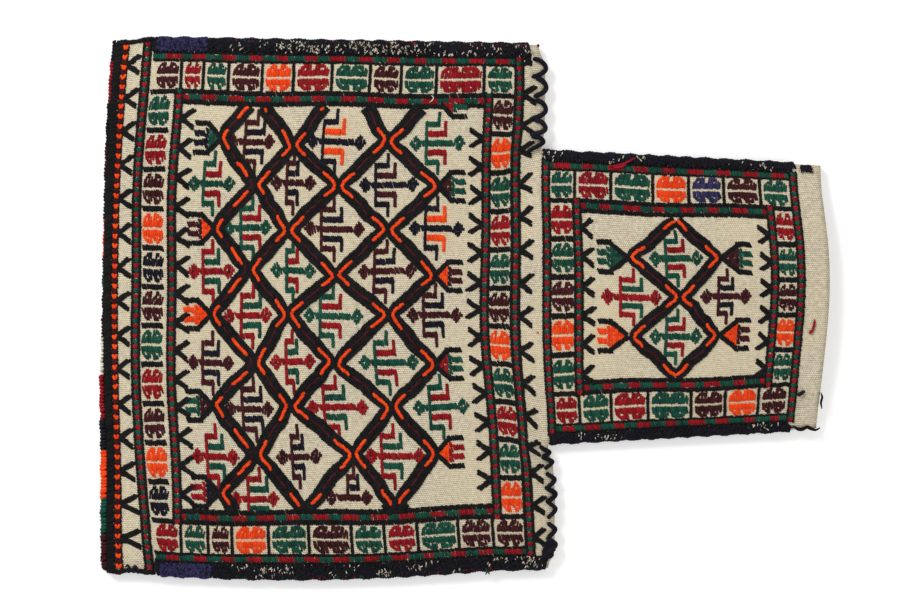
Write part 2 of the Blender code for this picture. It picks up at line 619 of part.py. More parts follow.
def woven_cloth(collection, materials):
    """The folded strip, with its four faces, its open edges and its fold."""
    rim = sewn_rim()
    fold = [(0, v) for v in braid_marks()]
    outline = rim + fold[1:-1]
    names = list(YARNS)
    mesh = bmesh.new()
    shapes = body_figures() + neck_figures()
    front = lay_sheet(mesh, outline, shapes, [], [], front_face, names)
    inside = [lay_sheet(mesh, outline, [], net(), [], front_lining, names)]
    inside.append(lay_sheet(mesh, outline, [], net(), creases(), back_lining, names))
    back = lay_sheet(mesh, outline, [], net(), creases(), back_face, names)
    count = len(rim)
    bridge(mesh, front[:count], inside[0][:count])
    bridge(mesh, inside[1][:count], back[:count])
    on_fold = [rim_points[count - 1:] + rim_points[:1] for rim_points in (front, *inside, back)]
    bridge(mesh, on_fold[1], on_fold[2])
    rows = [on_fold[0]]
    for step in (1, 2, 3):
        angle = math.pi * step / 4
        reach, height = -FOLD_RADIUS * math.sin(angle), EDGE_MIDDLE + FOLD_RADIUS * math.cos(angle)
        rows.append([mesh.verts.new(place(0, v, height) + Vector((reach, 0, 0))) for _, v in fold])
    rows.append(on_fold[3])
    for first, second in zip(rows, rows[1:]):
        bridge(mesh, first, second)
    for end in (0, -1):
        mesh.faces.new([row[end] for row in rows] + [on_fold[2][end], on_fold[1][end]])
    bmesh.ops.recalc_face_normals(mesh, faces=mesh.faces)
    return finished("woven_cloth", mesh, collection, [materials[name] for name in names])


def finished(name, mesh, collection, slots):
    """A new object in the collection from a bmesh."""
    data = bpy.data.meshes.new(name)
    mesh.to_mesh(data)
    mesh.free()
    for material in slots:
        data.materials.append(material)
    thing = bpy.data.objects.new(name, data)
    collection.objects.link(thing)
    return thing


def edge_section(round_edge, swell):
    """The stitching's inner and outer sides beside the cloth, as (outward, up) from the edge's middle."""
    half = FOLD_RADIUS + CLEARANCE
    turns = [math.radians(angle) for angle in (45, 90, 135)]
    if round_edge:
        inner = [(half * math.sin(turn), half * math.cos(turn)) for turn in turns]
        far = half + SEAM_YARN * swell
    else:
        inner = [(CLEARANCE, half), (CLEARANCE, -half)]
        far = CLEARANCE + SEAM_YARN * swell
    outer = [(far * math.sin(turn), (half + SEAM_YARN) * math.cos(turn)) for turn in turns]
    return inner, outer


def wrap(name, collection, material, stations, round_edge, front_reach, back_reach):
    """Stitching wrapped round an edge of the cloth, as one channel.

    A station is a point on the edge and the way in from it, both on the loom's grid. At the fold
    the cloth's edge is its outer half-round, which the channel follows.
    """
    mesh = bmesh.new()
    rings = []
    for k, ((u, v), (in_u, in_v)) in enumerate(stations):
        edge = place(u, v, EDGE_MIDDLE)
        outward = (edge - place(u + in_u * MM, v + in_v * MM, EDGE_MIDDLE)).normalized()
        sides = edge_section(round_edge, 1 + SEAM_WAVE * (k % 2))
        ring = []
        for lift, beside in zip((CLEARANCE, CLEARANCE + SEAM_YARN), sides):
            row = []
            for reach in (front_reach(v), 0.0)[: 2 if round_edge or lift > CLEARANCE else 1]:
                at = u + in_u * reach, v + in_v * reach
                row.append(place(*at, front_level(reach) + lift))
            row += [edge + outward * far + Vector((0, 0, up)) for far, up in beside]
            for reach in (0.0, back_reach)[0 if round_edge or lift > CLEARANCE else 1 :]:
                at = u + in_u * reach, v + in_v * reach
                row.append(place(*at, back_level(reach) - lift))
            ring = ring + row if not ring else ring + row[::-1]
        rings.append([mesh.verts.new(point) for point in ring])
    for first, second in zip(rings, rings[1:]):
        bridge(mesh, first + first[:1], second + second[:1])
    mesh.faces.new(rings[0])
    mesh.faces.new(rings[-1])
    bmesh.ops.recalc_face_normals(mesh, faces=mesh.faces)
    return finished(name, mesh, collection, [material])


def stitch_side(name, collection, material, ends, v, inward, reach):
    """The stitching of one stretch of a side seam, between two distances from the fold."""
    start, end = ends
    count = max(2, round((end - start) / SEAM_STITCH))
    stations = [((start + (end - start) * k / count, v), (0, inward)) for k in range(count + 1)]
    wrap(name, collection, material, stations, False, lambda _: reach - EDGE_BUILD - CLEARANCE, reach)


def stitch_sides(collection, materials):
    """The side seams of the body and the neck. A violet stretch interrupts each seam of the body."""
    for name, side in (("upper", 1), ("lower", -1)):
        spans = (
            (f"{name}_seam_foot", "navy", (BRAID_BACK + CLEARANCE, VIOLET_START)),
            (f"{name}_seam_violet", "violet", (VIOLET_START + CLEARANCE, VIOLET_END)),
            (f"{name}_seam", "navy", (VIOLET_END + CLEARANCE, SHOULDER - 2 * MM)),
        )
        for span, yarn, ends in spans:
            stitch_side(span, collection, materials[yarn], ends, side * BODY_EDGE, -side, BODY_SEAM)
        ends = SHOULDER + 2 * MM, MOUTH - 4 * MM
        edge = NECK_OFFSET + side * NECK_EDGE
        stitch_side(f"neck_{name}_seam", collection, materials["navy"], ends, edge, -side, NECK_SEAM)


def braid_marks():
    """Where one yarn of the braid gives way to the next, from the upper corner down."""
    total = sum(length for _, length in BRAID)
    marks = [BODY_EDGE]
    for _, length in BRAID:
        marks.append(marks[-1] - 2 * BODY_EDGE * length / total)
    return marks


def braid_fold(collection, materials):
    """The braid over the fold, one length of yarn after the next."""
    marks = braid_marks()
    for number, (yarn, _) in enumerate(BRAID, 1):
        top, foot = marks[number - 1] - CLEARANCE / 2, marks[number] + CLEARANCE / 2
        stations = [((0, v), (1, 0)) for v in (top, (top + foot) / 2, foot)]
        name = f"edge_braid_{number:02d}_{yarn}"
        wrap(name, collection, materials[yarn], stations, True, braid_reach, BRAID_BACK)


def stitch_shoulders(collection, materials):
    """An open zigzag of yarn over each shoulder edge."""
    radius = SHOULDER_YARN / 2
    clear = radius + 2 * CLEARANCE
    # One stitch, as (inward, up) from the edge's upper corner
    turn = ((0, clear), (-clear, 0), (-clear, -CLOTH), (-clear, 0), (0, clear), (SHOULDER_REACH, clear + RELIEF))
    for name, side in (("upper", 1), ("lower", -1)):
        start = NECK_OFFSET + side * (NECK_EDGE + BODY_SEAM)
        end = side * (BODY_EDGE - BODY_SEAM - SHOULDER_YARN)
        count = max(2, round(abs(end - start) / SHOULDER_STITCH))
        line = [place(SHOULDER - SHOULDER_REACH, start, front_face(SHOULDER - SHOULDER_REACH, start) + turn[-1][1])]
        for k in range(count):
            for step, (inward, up) in enumerate(turn, 1):
                v = start + (end - start) * (k + step / len(turn)) / count
                inside = SHOULDER - max(0.0, inward)
                at = place(inside, v, front_face(inside, v) + up)
                line.append(at + Vector((max(0.0, -inward), 0, 0)))
        tube(f"shoulder_{name}_stitch", line, radius, collection, materials["navy"])


def tube(name, line, radius, collection, material):
    """A yarn as a capped round tube along a line of points."""
    curve = bpy.data.curves.new(name, "CURVE")
    curve.dimensions = "3D"
    curve.bevel_depth = radius
    curve.bevel_resolution = 1
    curve.use_fill_caps = True
    spline = curve.splines.new("POLY")
    spline.points.add(len(line) - 1)
    for point, at in zip(spline.points, line):
        point.co = (*at, 1)
    curve.materials.append(material)
    thing = bpy.data.objects.new(name, curve)
    collection.objects.link(thing)
    return thing


def yarn_materials():
    """One wool finish for each yarn."""
    made = {}
    for name, colour in YARNS.items():
        material = bpy.data.materials.new(f"{name}_wool")
        material.use_nodes = True
        shader = material.node_tree.nodes["Principled BSDF"]
        shader.inputs["Base Color"].default_value = (*colour, 1)
        shader.inputs["Roughness"].default_value = 0.9
        material.diffuse_color = (*colour, 1)
        made[name] = material
    return made


def main():
    for thing in list(bpy.data.objects):
        bpy.data.objects.remove(thing)
    collection = bpy.data.collections.new("kilim_bag")
    bpy.context.scene.collection.children.link(collection)
    materials = yarn_materials()
    woven_cloth(collection, materials)
    stitch_sides(collection, materials)
    braid_fold(collection, materials)
    stitch_shoulders(collection, materials)


main()
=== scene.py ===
# %% [markdown]
# # A flat-woven salt bag, stitch by stitch
#
# The bag is one strip of wool cloth, folded at its foot and sewn up the sides, with a wide body and a
# narrow neck. Its front is covered in wrapped yarn: while the cloth was on the loom, coloured yarn was
# wound round the warps, one short slanted stitch beside the next. In this lesson the pattern is drawn once
# as a chart of plain outlines, and then the chart is worked as the weaver worked it, stitch by stitch.

import math
from collections import namedtuple

import bmesh
import bpy
import numpy as np
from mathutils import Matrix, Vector


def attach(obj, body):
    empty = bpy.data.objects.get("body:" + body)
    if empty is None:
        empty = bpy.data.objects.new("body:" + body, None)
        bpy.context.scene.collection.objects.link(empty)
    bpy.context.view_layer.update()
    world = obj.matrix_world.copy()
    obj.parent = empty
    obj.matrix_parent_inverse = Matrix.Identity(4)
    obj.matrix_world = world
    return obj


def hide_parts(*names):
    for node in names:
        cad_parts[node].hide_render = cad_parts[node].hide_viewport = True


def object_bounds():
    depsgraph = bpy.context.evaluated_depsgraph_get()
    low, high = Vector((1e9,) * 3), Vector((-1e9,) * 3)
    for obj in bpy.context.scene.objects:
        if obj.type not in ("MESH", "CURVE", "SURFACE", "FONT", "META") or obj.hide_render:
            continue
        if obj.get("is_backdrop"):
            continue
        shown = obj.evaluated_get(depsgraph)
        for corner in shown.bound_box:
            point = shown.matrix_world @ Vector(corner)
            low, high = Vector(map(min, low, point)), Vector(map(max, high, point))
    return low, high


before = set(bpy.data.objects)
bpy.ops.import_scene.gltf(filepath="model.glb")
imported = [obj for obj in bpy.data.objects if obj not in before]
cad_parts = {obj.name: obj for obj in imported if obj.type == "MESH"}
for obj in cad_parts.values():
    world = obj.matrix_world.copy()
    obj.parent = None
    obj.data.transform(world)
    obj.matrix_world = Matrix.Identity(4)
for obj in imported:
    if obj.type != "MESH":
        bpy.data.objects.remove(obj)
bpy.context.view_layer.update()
MM = 0.001
chance = np.random.default_rng(5)

# %% [markdown]
# ## The loom's grid
#
# A weaver thinks in bands: so many rows for a stripe, so many for the blocks. The bands of the cloth from
# the fold to the mouth are listed once, with their widths, and so are the bands from the middle outwards.
# `u` runs from the fold to the mouth and `v` across the cloth. On this grid everything is square.

# %% Bands of the cloth
# Widths in mm, from the fold to the mouth and then from the middle of the body and of the neck outwards
LENGTH_PLAN = {
    "fold_band": 2.8, "ember_stripe": 4.0, "foot_hooks": 9.6, "foot_stripe": 6.4, "foot_blocks_margin": 1.4,
    "foot_blocks": 14.2, "foot_blocks_end": 3.0, "field_foot_stripe": 6.2, "field": 212.2,
    "field_head_stripe": 6.0, "head_blocks": 14.6, "head_stripe": 6.8, "head_hooks": 15.4,
    "neck_foot_stripe": 5.8, "neck_foot_blocks": 16.0, "neck_field_foot_stripe": 6.2, "neck_field": 130.6,
    "neck_field_head_stripe": 5.6, "neck_head_blocks": 12.8, "neck_head_stripe": 5.6, "mouth_band": 17.2,
}
BODY_PLAN = {"field": 140.4, "inner_stripe": 10.8, "blocks": 19.6, "outer_stripe": 7.3}
NECK_PLAN = {"field": 56.0, "inner_stripe": 9.7, "blocks": 18.9, "outer_stripe": 6.4}
BODY_SEAM = 10.4 * MM
NECK_SEAM = 7.2 * MM
NECK_OFFSET = 6.6 * MM


def running_edges(plan):
    """Where each band of a plan starts and ends, in metres."""
    edges, start = {}, 0.0
    for name, width in plan.items():
        edges[name] = (start, start + width * MM)
        start += width * MM
    return edges


BANDS = running_edges(LENGTH_PLAN)
BODY_BANDS = running_edges(BODY_PLAN)
NECK_BANDS = running_edges(NECK_PLAN)
SHOULDER = BANDS["head_hooks"][1]
MOUTH = BANDS["mouth_band"][1]
CLOTH = 3.0 * MM
LAYER_GAP = 0.3 * MM
EDGE_BUILD = 1.3 * MM  # how far the yarn that goes round the edges stands out from the cloth
BODY_EDGE = BODY_BANDS["outer_stripe"][1] + BODY_SEAM - EDGE_BUILD
NECK_EDGE = NECK_BANDS["outer_stripe"][1] + NECK_SEAM - EDGE_BUILD
FOLD_RADIUS = CLOTH + LAYER_GAP / 2
RISE, RISE_REACH = 7.0 * MM, 65 * MM  # how far the empty pouch stands up, and how far from its edges
print(f"body {SHOULDER * 1000:.0f} mm long, neck to {MOUTH * 1000:.0f} mm")

# %% [markdown]
# ## The weaver's hand
#
# Nothing handwoven stays square. The fold bows, the shoulder leans and the neck narrows towards its mouth.
# One function pulls the square grid into that shape. Cloth, stitches and seams all go through it, so they
# always agree. A few slow waves are added to it, because no line on the real bag is quite straight.


# %% From the loom's grid to the bag
def smooth(share):
    """0 to 1 with soft ends."""
    t = np.clip(share, 0.0, 1.0)
    return t * t * (3 - 2 * t)


def ramp(value, start, length):
    """0 up to `start` and 1 from `length` further on, both in mm."""
    return smooth((value - start * MM) / (length * MM))


def unit(vectors):
    return vectors / np.linalg.norm(vectors, axis=-1, keepdims=True)


def pulled(u, v):
    """The plan position of points of the loom's grid, before it is centred. The pulls are in mm."""
    u, v = np.asarray(u, float), np.asarray(v, float)
    across = v / BODY_EDGE
    along = np.clip(u / SHOULDER, 0, 1)
    low, high = np.clip(-across, 0, 1) ** 2, np.clip(across, 0, 1) ** 2
    fold_bow = (0.6 + (7.1 + 2.1 * across) * across**2) * (1 - along)
    shoulder_bow = 3.5 * (1 - np.cos(np.pi * across)) * along
    out_of_square = -5.0 * along * across
    fold_corners = -(2.6 * ramp(-v, 100, 80) + ramp(v, 110, 60)) * (1 - ramp(u, 0, 14))
    foot_stripe_lean = 4.0 * ramp(u, 6, 10) * (1 - ramp(u, 23, 18)) * ramp(-v, 90, 90)
    upper_corner = 4.5 * ramp(v - BODY_EDGE, -16, 16)
    lower_corner = 2.2 * ramp(-v - BODY_EDGE, -57, 35) + 5.5 * ramp(-v - BODY_EDGE, -14, 14)
    shoulder_corners = -(upper_corner + lower_corner) * ramp(u - SHOULDER, -18, 18)
    pull = fold_bow + shoulder_bow + out_of_square + fold_corners + foot_stripe_lean + shoulder_corners
    body_x = u + pull * MM
    taper = -5.2 * along * across
    belly = -4.4 * low * np.sin(np.pi * np.clip((u - 28 * MM) / (232 * MM), 0, 1))
    foot_corners = 2.6 * low * (1 - ramp(u, 8, 24)) - 3.2 * high * (1 - ramp(u, 0, 26))
    body_y = v + (taper + belly + foot_corners) * MM

    across = np.clip((v - NECK_OFFSET) / NECK_EDGE, -1, 1)
    along = np.clip((u - SHOULDER) / (MOUTH - SHOULDER), 0, 1)
    bow = (2.2 - 9.4 * along) * (1 - np.cos(np.pi * across)) / 2
    tilt = (-2.2 + 3.7 * along) * across
    narrowing = (4.6 - 10.0 * along) * across
    neck_x, neck_y = u + (bow + tilt) * MM, v + narrowing * MM
    share = ramp(u - SHOULDER, -34, 34) * (1 - ramp(np.abs(v - NECK_OFFSET) - NECK_EDGE, 0, 25))
    return body_x + (neck_x - body_x) * share, body_y + (neck_y - body_y) * share


CENTRE_U = (float(pulled(MOUTH, NECK_OFFSET)[0]) - FOLD_RADIUS - EDGE_BUILD) / 2


def on_bag(u, v, height):
    """Points of the grid in the bag's frame, with the slow waves of a handmade cloth."""
    u, v = np.asarray(u, float), np.asarray(v, float)
    x, y = pulled(u, v)
    calm = ramp(edge_distance(u, v), 0, 30)
    x = x + 0.7 * MM * calm * np.sin(v / (21 * MM) + 1.1 * np.sin(u / (47 * MM)))
    y = y + 0.6 * MM * calm * np.sin(u / (17 * MM) + 1.4 * np.sin(v / (39 * MM) + 0.7))
    return np.stack([x - CENTRE_U, y, np.broadcast_to(height, x.shape)], -1)


def edge_distance(u, v):
    """How far points of the grid are from the nearest closed edge."""
    side = NECK_EDGE - np.abs(v - NECK_OFFSET)
    to_shoulder = np.where(side > 0, np.hypot(SHOULDER - u, side), SHOULDER - u)
    body = np.minimum(np.minimum(u, BODY_EDGE - np.abs(v)), to_shoulder)
    return np.maximum(0.0, np.where(u > SHOULDER, side, body))


def back_height(u, v):
    """The underside hangs down to the table between its seams."""
    return EDGE_BUILD * (1 - ramp(edge_distance(u, v) - BODY_SEAM, 1, 14))


def front_height(u, v):
    """The front stands up between its seams, and the limp cloth lies in shallow waves."""
    distance = edge_distance(u, v)
    swell = RISE * np.sin(np.pi / 2 * np.minimum(1.0, distance / RISE_REACH))
    waves = np.sin(u / (23 * MM) + 0.9 * np.sin(v / (31 * MM))) * np.sin(v / (27 * MM) + 0.6)
    waves = waves * 0.45 * MM * ramp(distance, 0, 25)
    return EDGE_BUILD + 2 * CLOTH + LAYER_GAP + swell + waves


print("mouth at x =", round(float(on_bag(MOUTH, NECK_OFFSET, 0)[0]) * 1000, 1), "mm")

# %% [markdown]
# ## The camera
#
# The bag was photographed from straight above, so the camera stands over it with a long lens. Its place and
# its lens follow from what a pixel of the photograph covers and from where the bag lies in the picture.

# %% The camera looks straight down
PIXEL = 0.6954 * MM  # what one pixel of the photograph covers
SCALE_HEIGHT = 10 * MM  # where it covers that: about the height of the bag's front
PHOTO_WIDTH, PHOTO_HEIGHT = 900, 600
BAG_MIDDLE = 464.8, 306.5  # of its length and width, in the photograph's pixels
VIEW_HEIGHT = 1.9
SENSOR = 36.0
camera_data = bpy.data.cameras.new("camera")
camera_data.sensor_width = SENSOR
camera_data.lens = SENSOR * (VIEW_HEIGHT - SCALE_HEIGHT) / (PHOTO_WIDTH * PIXEL)
camera = bpy.data.objects.new("camera", camera_data)
camera.location = (
    (PHOTO_WIDTH / 2 - BAG_MIDDLE[0]) * PIXEL, (BAG_MIDDLE[1] - PHOTO_HEIGHT / 2) * PIXEL, VIEW_HEIGHT,
)
bpy.context.scene.collection.objects.link(camera)
bpy.context.scene.camera = camera
bpy.context.scene.view_settings.view_transform = "Standard"
print(f"lens {camera_data.lens:.0f} mm at {VIEW_HEIGHT} m")

# %% [markdown]
# ## Shader maths in plain expressions
#
# A small class wraps a node's socket and gives it the usual operators. `1 - mask` or `ribs * 0.5` then adds
# the Math nodes by itself, and every other node comes from one method.


# %% A socket that can be added and multiplied
class Wire:
    """A shader socket with arithmetic."""

    def __init__(self, tree, socket):
        self.tree, self.socket = tree, socket

    def math(self, operation, *values):
        node = self.tree.nodes.new("ShaderNodeMath")
        node.operation = operation
        for socket, value in zip(node.inputs, values):
            if isinstance(value, Wire):
                self.tree.links.new(value.socket, socket)
            else:
                socket.default_value = value
        return Wire(self.tree, node.outputs[0])

    def __add__(self, other):
        return self.math("ADD", self, other)

    def __sub__(self, other):
        return self.math("SUBTRACT", self, other)

    def __rsub__(self, other):
        return self.math("SUBTRACT", other, self)

    def __mul__(self, other):
        return self.math("MULTIPLY", self, other)

    __radd__, __rmul__ = __add__, __mul__

    def clamped(self, low=0.0, high=1.0):
        return self.math("MINIMUM", self.math("MAXIMUM", self, low), high)


class Finish:
    """One material, and the method that adds any node to it."""

    def __init__(self, name, roughness=0.9):
        self.material = bpy.data.materials.new(name)
        self.material.use_nodes = True
        self.tree = self.material.node_tree
        self.shader = self.tree.nodes["Principled BSDF"]
        self.shader.inputs["Roughness"].default_value = roughness
        self.shader.inputs["Specular IOR Level"].default_value = 0.12

    def node(self, kind, settings=None, output=0, **values):
        node = self.tree.nodes.new(kind)
        for name, value in (settings or {}).items():
            setattr(node, name, value)
        for name, value in values.items():
            socket = node.inputs[name.replace("_", " ")]
            if isinstance(value, Wire):
                self.tree.links.new(value.socket, socket)
            else:
                socket.default_value = value
        return Wire(self.tree, node.outputs[output])

    def mix(self, share, first, second):
        """A colour between two colours."""
        node = self.tree.nodes.new("ShaderNodeMix")
        node.data_type = "RGBA"
        for index, value in ((0, share), (6, first), (7, second)):
            if isinstance(value, Wire):
                self.tree.links.new(value.socket, node.inputs[index])
            else:
                node.inputs[index].default_value = value
        return Wire(self.tree, node.outputs[2])

    def feed(self, socket, wire):
        self.tree.links.new(wire.socket, self.shader.inputs[socket])


def dye(red, green, blue):
    """A colour written as it looks on screen, 0 to 255, for a shader."""
    parts = [c / 255 for c in (red, green, blue)]
    return tuple(c / 12.92 if c <= 0.04045 else ((c + 0.055) / 1.055) ** 2.4 for c in parts) + (1.0,)


print("shader tools ready")

# %% [markdown]
# ## Wool
#
# Handspun wool is never one colour. Each stitch takes the dye a little differently, so every stitch carries
# a number of its own, `tone`. Slow noise adds the fading from one dye lot to the next, and a fine grain in
# the bump breaks up the shine as the wool's fibres do.

# %% One wool finish per yarn
YARN_DYES = {
    # yarn: (deep shade, light shade)
    "black": ((13, 12, 13), (33, 31, 32)),
    "navy": ((12, 12, 18), (34, 32, 45)),
    "violet": ((26, 24, 50), (66, 61, 104)),
    "red": ((96, 12, 19), (168, 28, 36)),
    "maroon": ((36, 12, 16), (78, 32, 37)),
    "ember": ((42, 12, 14), (76, 24, 24)),
    "green": ((10, 44, 36), (32, 90, 72)),
    "orange": ((206, 46, 14), (250, 84, 28)),
    "white": ((186, 178, 160), (236, 232, 220)),
    "thread": ((120, 16, 26), (176, 34, 46)),
    "cream": ((146, 134, 112), (222, 212, 190)),
}


def wool(name, deep, light):
    """A yarn's finish: two shades of its dye, mixed by the stitch's own tone and by slow noise."""
    finish = Finish(f"{name}_wool")
    place = finish.node("ShaderNodeTexCoord", output=3)
    tone = finish.node("ShaderNodeAttribute", {"attribute_name": "tone"}, output=2)
    lot = finish.node("ShaderNodeTexNoise", Vector=place, Scale=28.0, Detail=2.0)
    fuzz = finish.node("ShaderNodeTexNoise", Vector=place, Scale=2600.0, Detail=1.0)
    share = (tone * 0.55 + lot * 0.5 + fuzz * 0.5 - 0.28).clamped()
    finish.feed("Base Color", finish.mix(share, dye(*deep), dye(*light)))
    grain = finish.node("ShaderNodeTexNoise", Vector=place, Scale=3400.0, Detail=2.0)
    bump = finish.node("ShaderNodeBump", Strength=0.55, Distance=0.25 * MM, Height=grain)
    finish.feed("Normal", bump)
    return finish.material


WOOL = {name: wool(name, *shades) for name, shades in YARN_DYES.items()}
print(len(WOOL), "yarns:", ", ".join(WOOL))

# %% [markdown]
# ## The chart
#
# The pattern is a list of plain outlines on the loom's grid. Each has a yarn, the slant of its stitches and
# the piece that it belongs to. A later outline covers an earlier one, as one yarn is wrapped in place of
# another, and the yarn `None` leaves the ground weave bare.

# %% What an outline knows
Outline = namedtuple("Outline", "yarn points slant piece wrap", defaults=(-20, "stripes", 1.45 * MM))
chart = []


def draw(yarn, points, **how):
    chart.append(Outline(yarn, list(points), **how))


def box(u0, u1, v0, v1):
    return [(u0, v0), (u1, v0), (u1, v1), (u0, v1)]


def span(side, near, far, offset=0.0):
    """The stretch across the cloth between two distances from a middle, on one side of it."""
    return sorted((offset + side * near, offset + side * far))


# One stitch laid freely, turned by `turn` from straight across the cloth
Rope = namedtuple("Rope", "yarn u v turn width long piece")
ropes = []


def run_rope(yarn, points, width, piece, rows=1, pitch=2.3 * MM, long=3.7 * MM, turned=0.0, aside=0.0):
    """Stitches laid end over end along a line, in one or more rows side by side."""
    points = np.asarray(points, float)
    pace = np.append(0, np.cumsum(np.linalg.norm(np.diff(points, axis=0), axis=1)))
    count = max(1, round(pace[-1] / pitch))
    for row in range(rows):
        away = aside + (row - (rows - 1) / 2) * width * 0.82
        spots = (np.arange(count) + 0.5 + 0.25 * (-1) ** row * (rows > 1)) * pace[-1] / count
        before, after = (
            np.stack([np.interp(spots + way * 0.5 * MM, pace, side) for side in points.T]) for way in (-1, 1)
        )
        run_u, run_v = unit((after - before).T).T
        u, v = (before + after) / 2 + np.stack([-run_v, run_u]) * away
        heading = np.arctan2(run_u, run_v) + math.radians(turned)
        ropes.extend(Rope(yarn, *spot, width, long, piece) for spot in zip(u, v, heading))


print("chart started")

# %% [markdown]
# ## Stripes
#
# A stripe across the cloth is worked in pairs of stitches that lean towards each other, so that each
# coloured pair reads as a small heart. A stripe along the cloth is one long stitch deep, in runs of red and
# green. Both lie between two lines of black.

# %% Draw the stripes
HEART = 3.5 * MM  # pitch of the hearts
RUN = 9.6 * MM  # length of a run of red or green


def cross_stripe(u0, u1, v0, v1, yarns, core=3.0 * MM):
    """A black stripe across the cloth, with hearts of two yarns along its middle."""
    middle = (u0 + u1) / 2
    for low, high, lean in ((u0, middle - core / 2, -1), (middle + core / 2, u1, 1)):
        centre, width = (low + high) / 2, high - low
        line = [(centre, v0), (centre, v1)]
        run_rope("black", line, width, "stripes", pitch=2.0 * MM, long=3.9 * MM, turned=-lean * 20)
        draw("black", box(low, high, v0, v1), slant=0, wrap=width)
    count = int((v1 - v0) / HEART)
    for k in range(count):
        v = v0 + (v1 - v0) * (k + 0.5) / count
        for side in (-1, 1):
            turn = math.radians(side * 22)
            ropes.append(Rope(
                yarns[k % 2], middle + side * core * 0.23, v, turn, core * 0.6, HEART * 1.05, "hearts",
            ))


def side_stripe(u0, u1, v0, v1, core=3.7 * MM, first=0):
    """A black stripe along the cloth, with runs of red and green along its middle."""
    middle = (v0 + v1) / 2
    draw("black", box(u0, u1, v0, v1), slant=-18)
    count = max(1, round((u1 - u0) / RUN))
    marks = u0 + (u1 - u0) * (np.arange(count + 1) + np.append(chance.uniform(-0.18, 0.18, count), 0)) / count
    for k in range(count):
        yarn = ("green", "red")[(k + first) % 2]
        run = box(max(u0, marks[k]), marks[k + 1], middle - core / 2, middle + core / 2)
        draw(yarn, run, slant=-13, piece="hearts")


def draw_stripes(edges, offset, prefix, outer_start):
    """The stripes round the body or the neck: outside the blocks and round the field."""
    outer, inner = edges["outer_stripe"], edges["inner_stripe"]
    for band, width in (
        ("foot", outer[1]), ("head", outer[1]), ("field_foot", inner[1]), ("field_head", inner[1]),
    ):
        if prefix + band == "foot":
            width = FOOT_REACH
        cross_stripe(*BANDS[f"{prefix}{band}_stripe"], offset - width, offset + width, ("red", "green"))
    outer_ends = BANDS[outer_start][0], BANDS[f"{prefix}head_stripe"][1]
    inner_ends = BANDS[f"{prefix}field_foot_stripe"][0], BANDS[f"{prefix}field_head_stripe"][1]
    for side in (1, -1):
        side_stripe(*outer_ends, *span(side, *outer, offset))
        side_stripe(*inner_ends, *span(side, *inner, offset), first=1)


def fuzz(yarns, u0, u1, v0, v1, count, width=0.95 * MM, long=2.6 * MM):
    """Short ends of yarn at all angles, as on a matted seam."""
    for u, v in zip(chance.uniform(u0, u1, count), chance.uniform(v0, v1, count)):
        yarn = yarns[int(chance.integers(len(yarns)))]
        size = chance.uniform(0.7, 1.25)
        ropes.append(Rope(yarn, u, v, chance.uniform(-1.3, 1.3), width * size, long * size, "seam_fuzz"))


def flecks(u0, u1, v0, v1, clusters):
    """Clusters of cream where the ground shows between the turns."""
    for u, v in zip(chance.uniform(u0, u1, clusters), chance.uniform(v0, v1, clusters)):
        for _ in range(int(chance.integers(3, 9))):
            spot = u + chance.normal(0, 3.2 * MM), np.clip(v + chance.normal(0, 1.4 * MM), v0, v1)
            size = chance.uniform(0.6, 1.2)
            turn = chance.normal(0.1, 0.5)
            ropes.append(Rope("cream", *spot, turn, 0.8 * MM * size, 2.3 * MM * size, "seam_fuzz"))


# Where the navy of each side seam of the body starts, and where its violet stretch and the seam itself end
SEAM_FOOT = 24 * MM
VIOLET = {1: (26 * MM, 62 * MM), -1: (27 * MM, 66 * MM)}
SEAM_END = {1: 292 * MM, -1: 300 * MM}
FOOT_REACH = BODY_EDGE - 2.4 * MM  # the stripes at the foot run on to the side seams
for side in (1, -1):
    start, end = VIOLET[side]
    stop = SEAM_END[side]
    mat = span(side, BODY_EDGE - 0.6 * MM, BODY_BANDS["outer_stripe"][1])
    neck_mat = span(side, NECK_EDGE - 0.6 * MM, NECK_BANDS["outer_stripe"][1], NECK_OFFSET)
    for yarn, place in (
        ("navy", (SEAM_FOOT, start, *mat)), ("violet", (start, end, *mat)), ("navy", (end, stop, *mat)),
        ("navy", (SHOULDER + 1 * MM, MOUTH - 20 * MM, *neck_mat)),
    ):
        draw(yarn, box(*place), slant=side * 30, piece="seam_mats", wrap=1.5 * MM)
    zone = span(side, BODY_EDGE - 1.0 * MM, BODY_EDGE - 8.6 * MM)
    fuzz(("navy", "black"), SEAM_FOOT, start, *zone, 60)
    fuzz(("violet", "violet", "navy"), start, end, *zone, 270)
    fuzz(("navy", "black"), end, stop, *zone, 1100)
    flecks(80 * MM, stop, *zone, 24)
    if side > 0:
        flecks(114 * MM, 152 * MM, *zone, 14)
        flecks(162 * MM, 218 * MM, *zone, 18)
    else:
        fuzz(("navy", "navy", "black"), 293 * MM, SHOULDER - 1 * MM, -179 * MM, -169 * MM, 150, long=3.2 * MM)
    rim = span(side, BODY_EDGE - 0.4 * MM, BODY_EDGE - 1.6 * MM)
    fuzz(("green", "red"), 80 * MM, stop, *rim, 60, width=0.7 * MM, long=1.6 * MM)
    zone = span(side, NECK_EDGE - 1.0 * MM, NECK_EDGE - 5.6 * MM, NECK_OFFSET)
    fuzz(("navy", "black"), SHOULDER + 2 * MM, MOUTH - 21 * MM, *zone, 560)
    flecks(SHOULDER + 2 * MM, MOUTH - 21 * MM, *zone, 6)
    if side > 0:
        fuzz(("navy", "black"), MOUTH - 14 * MM, MOUTH - 6 * MM, *zone, 60)

ember_end = BANDS["ember_stripe"][1]
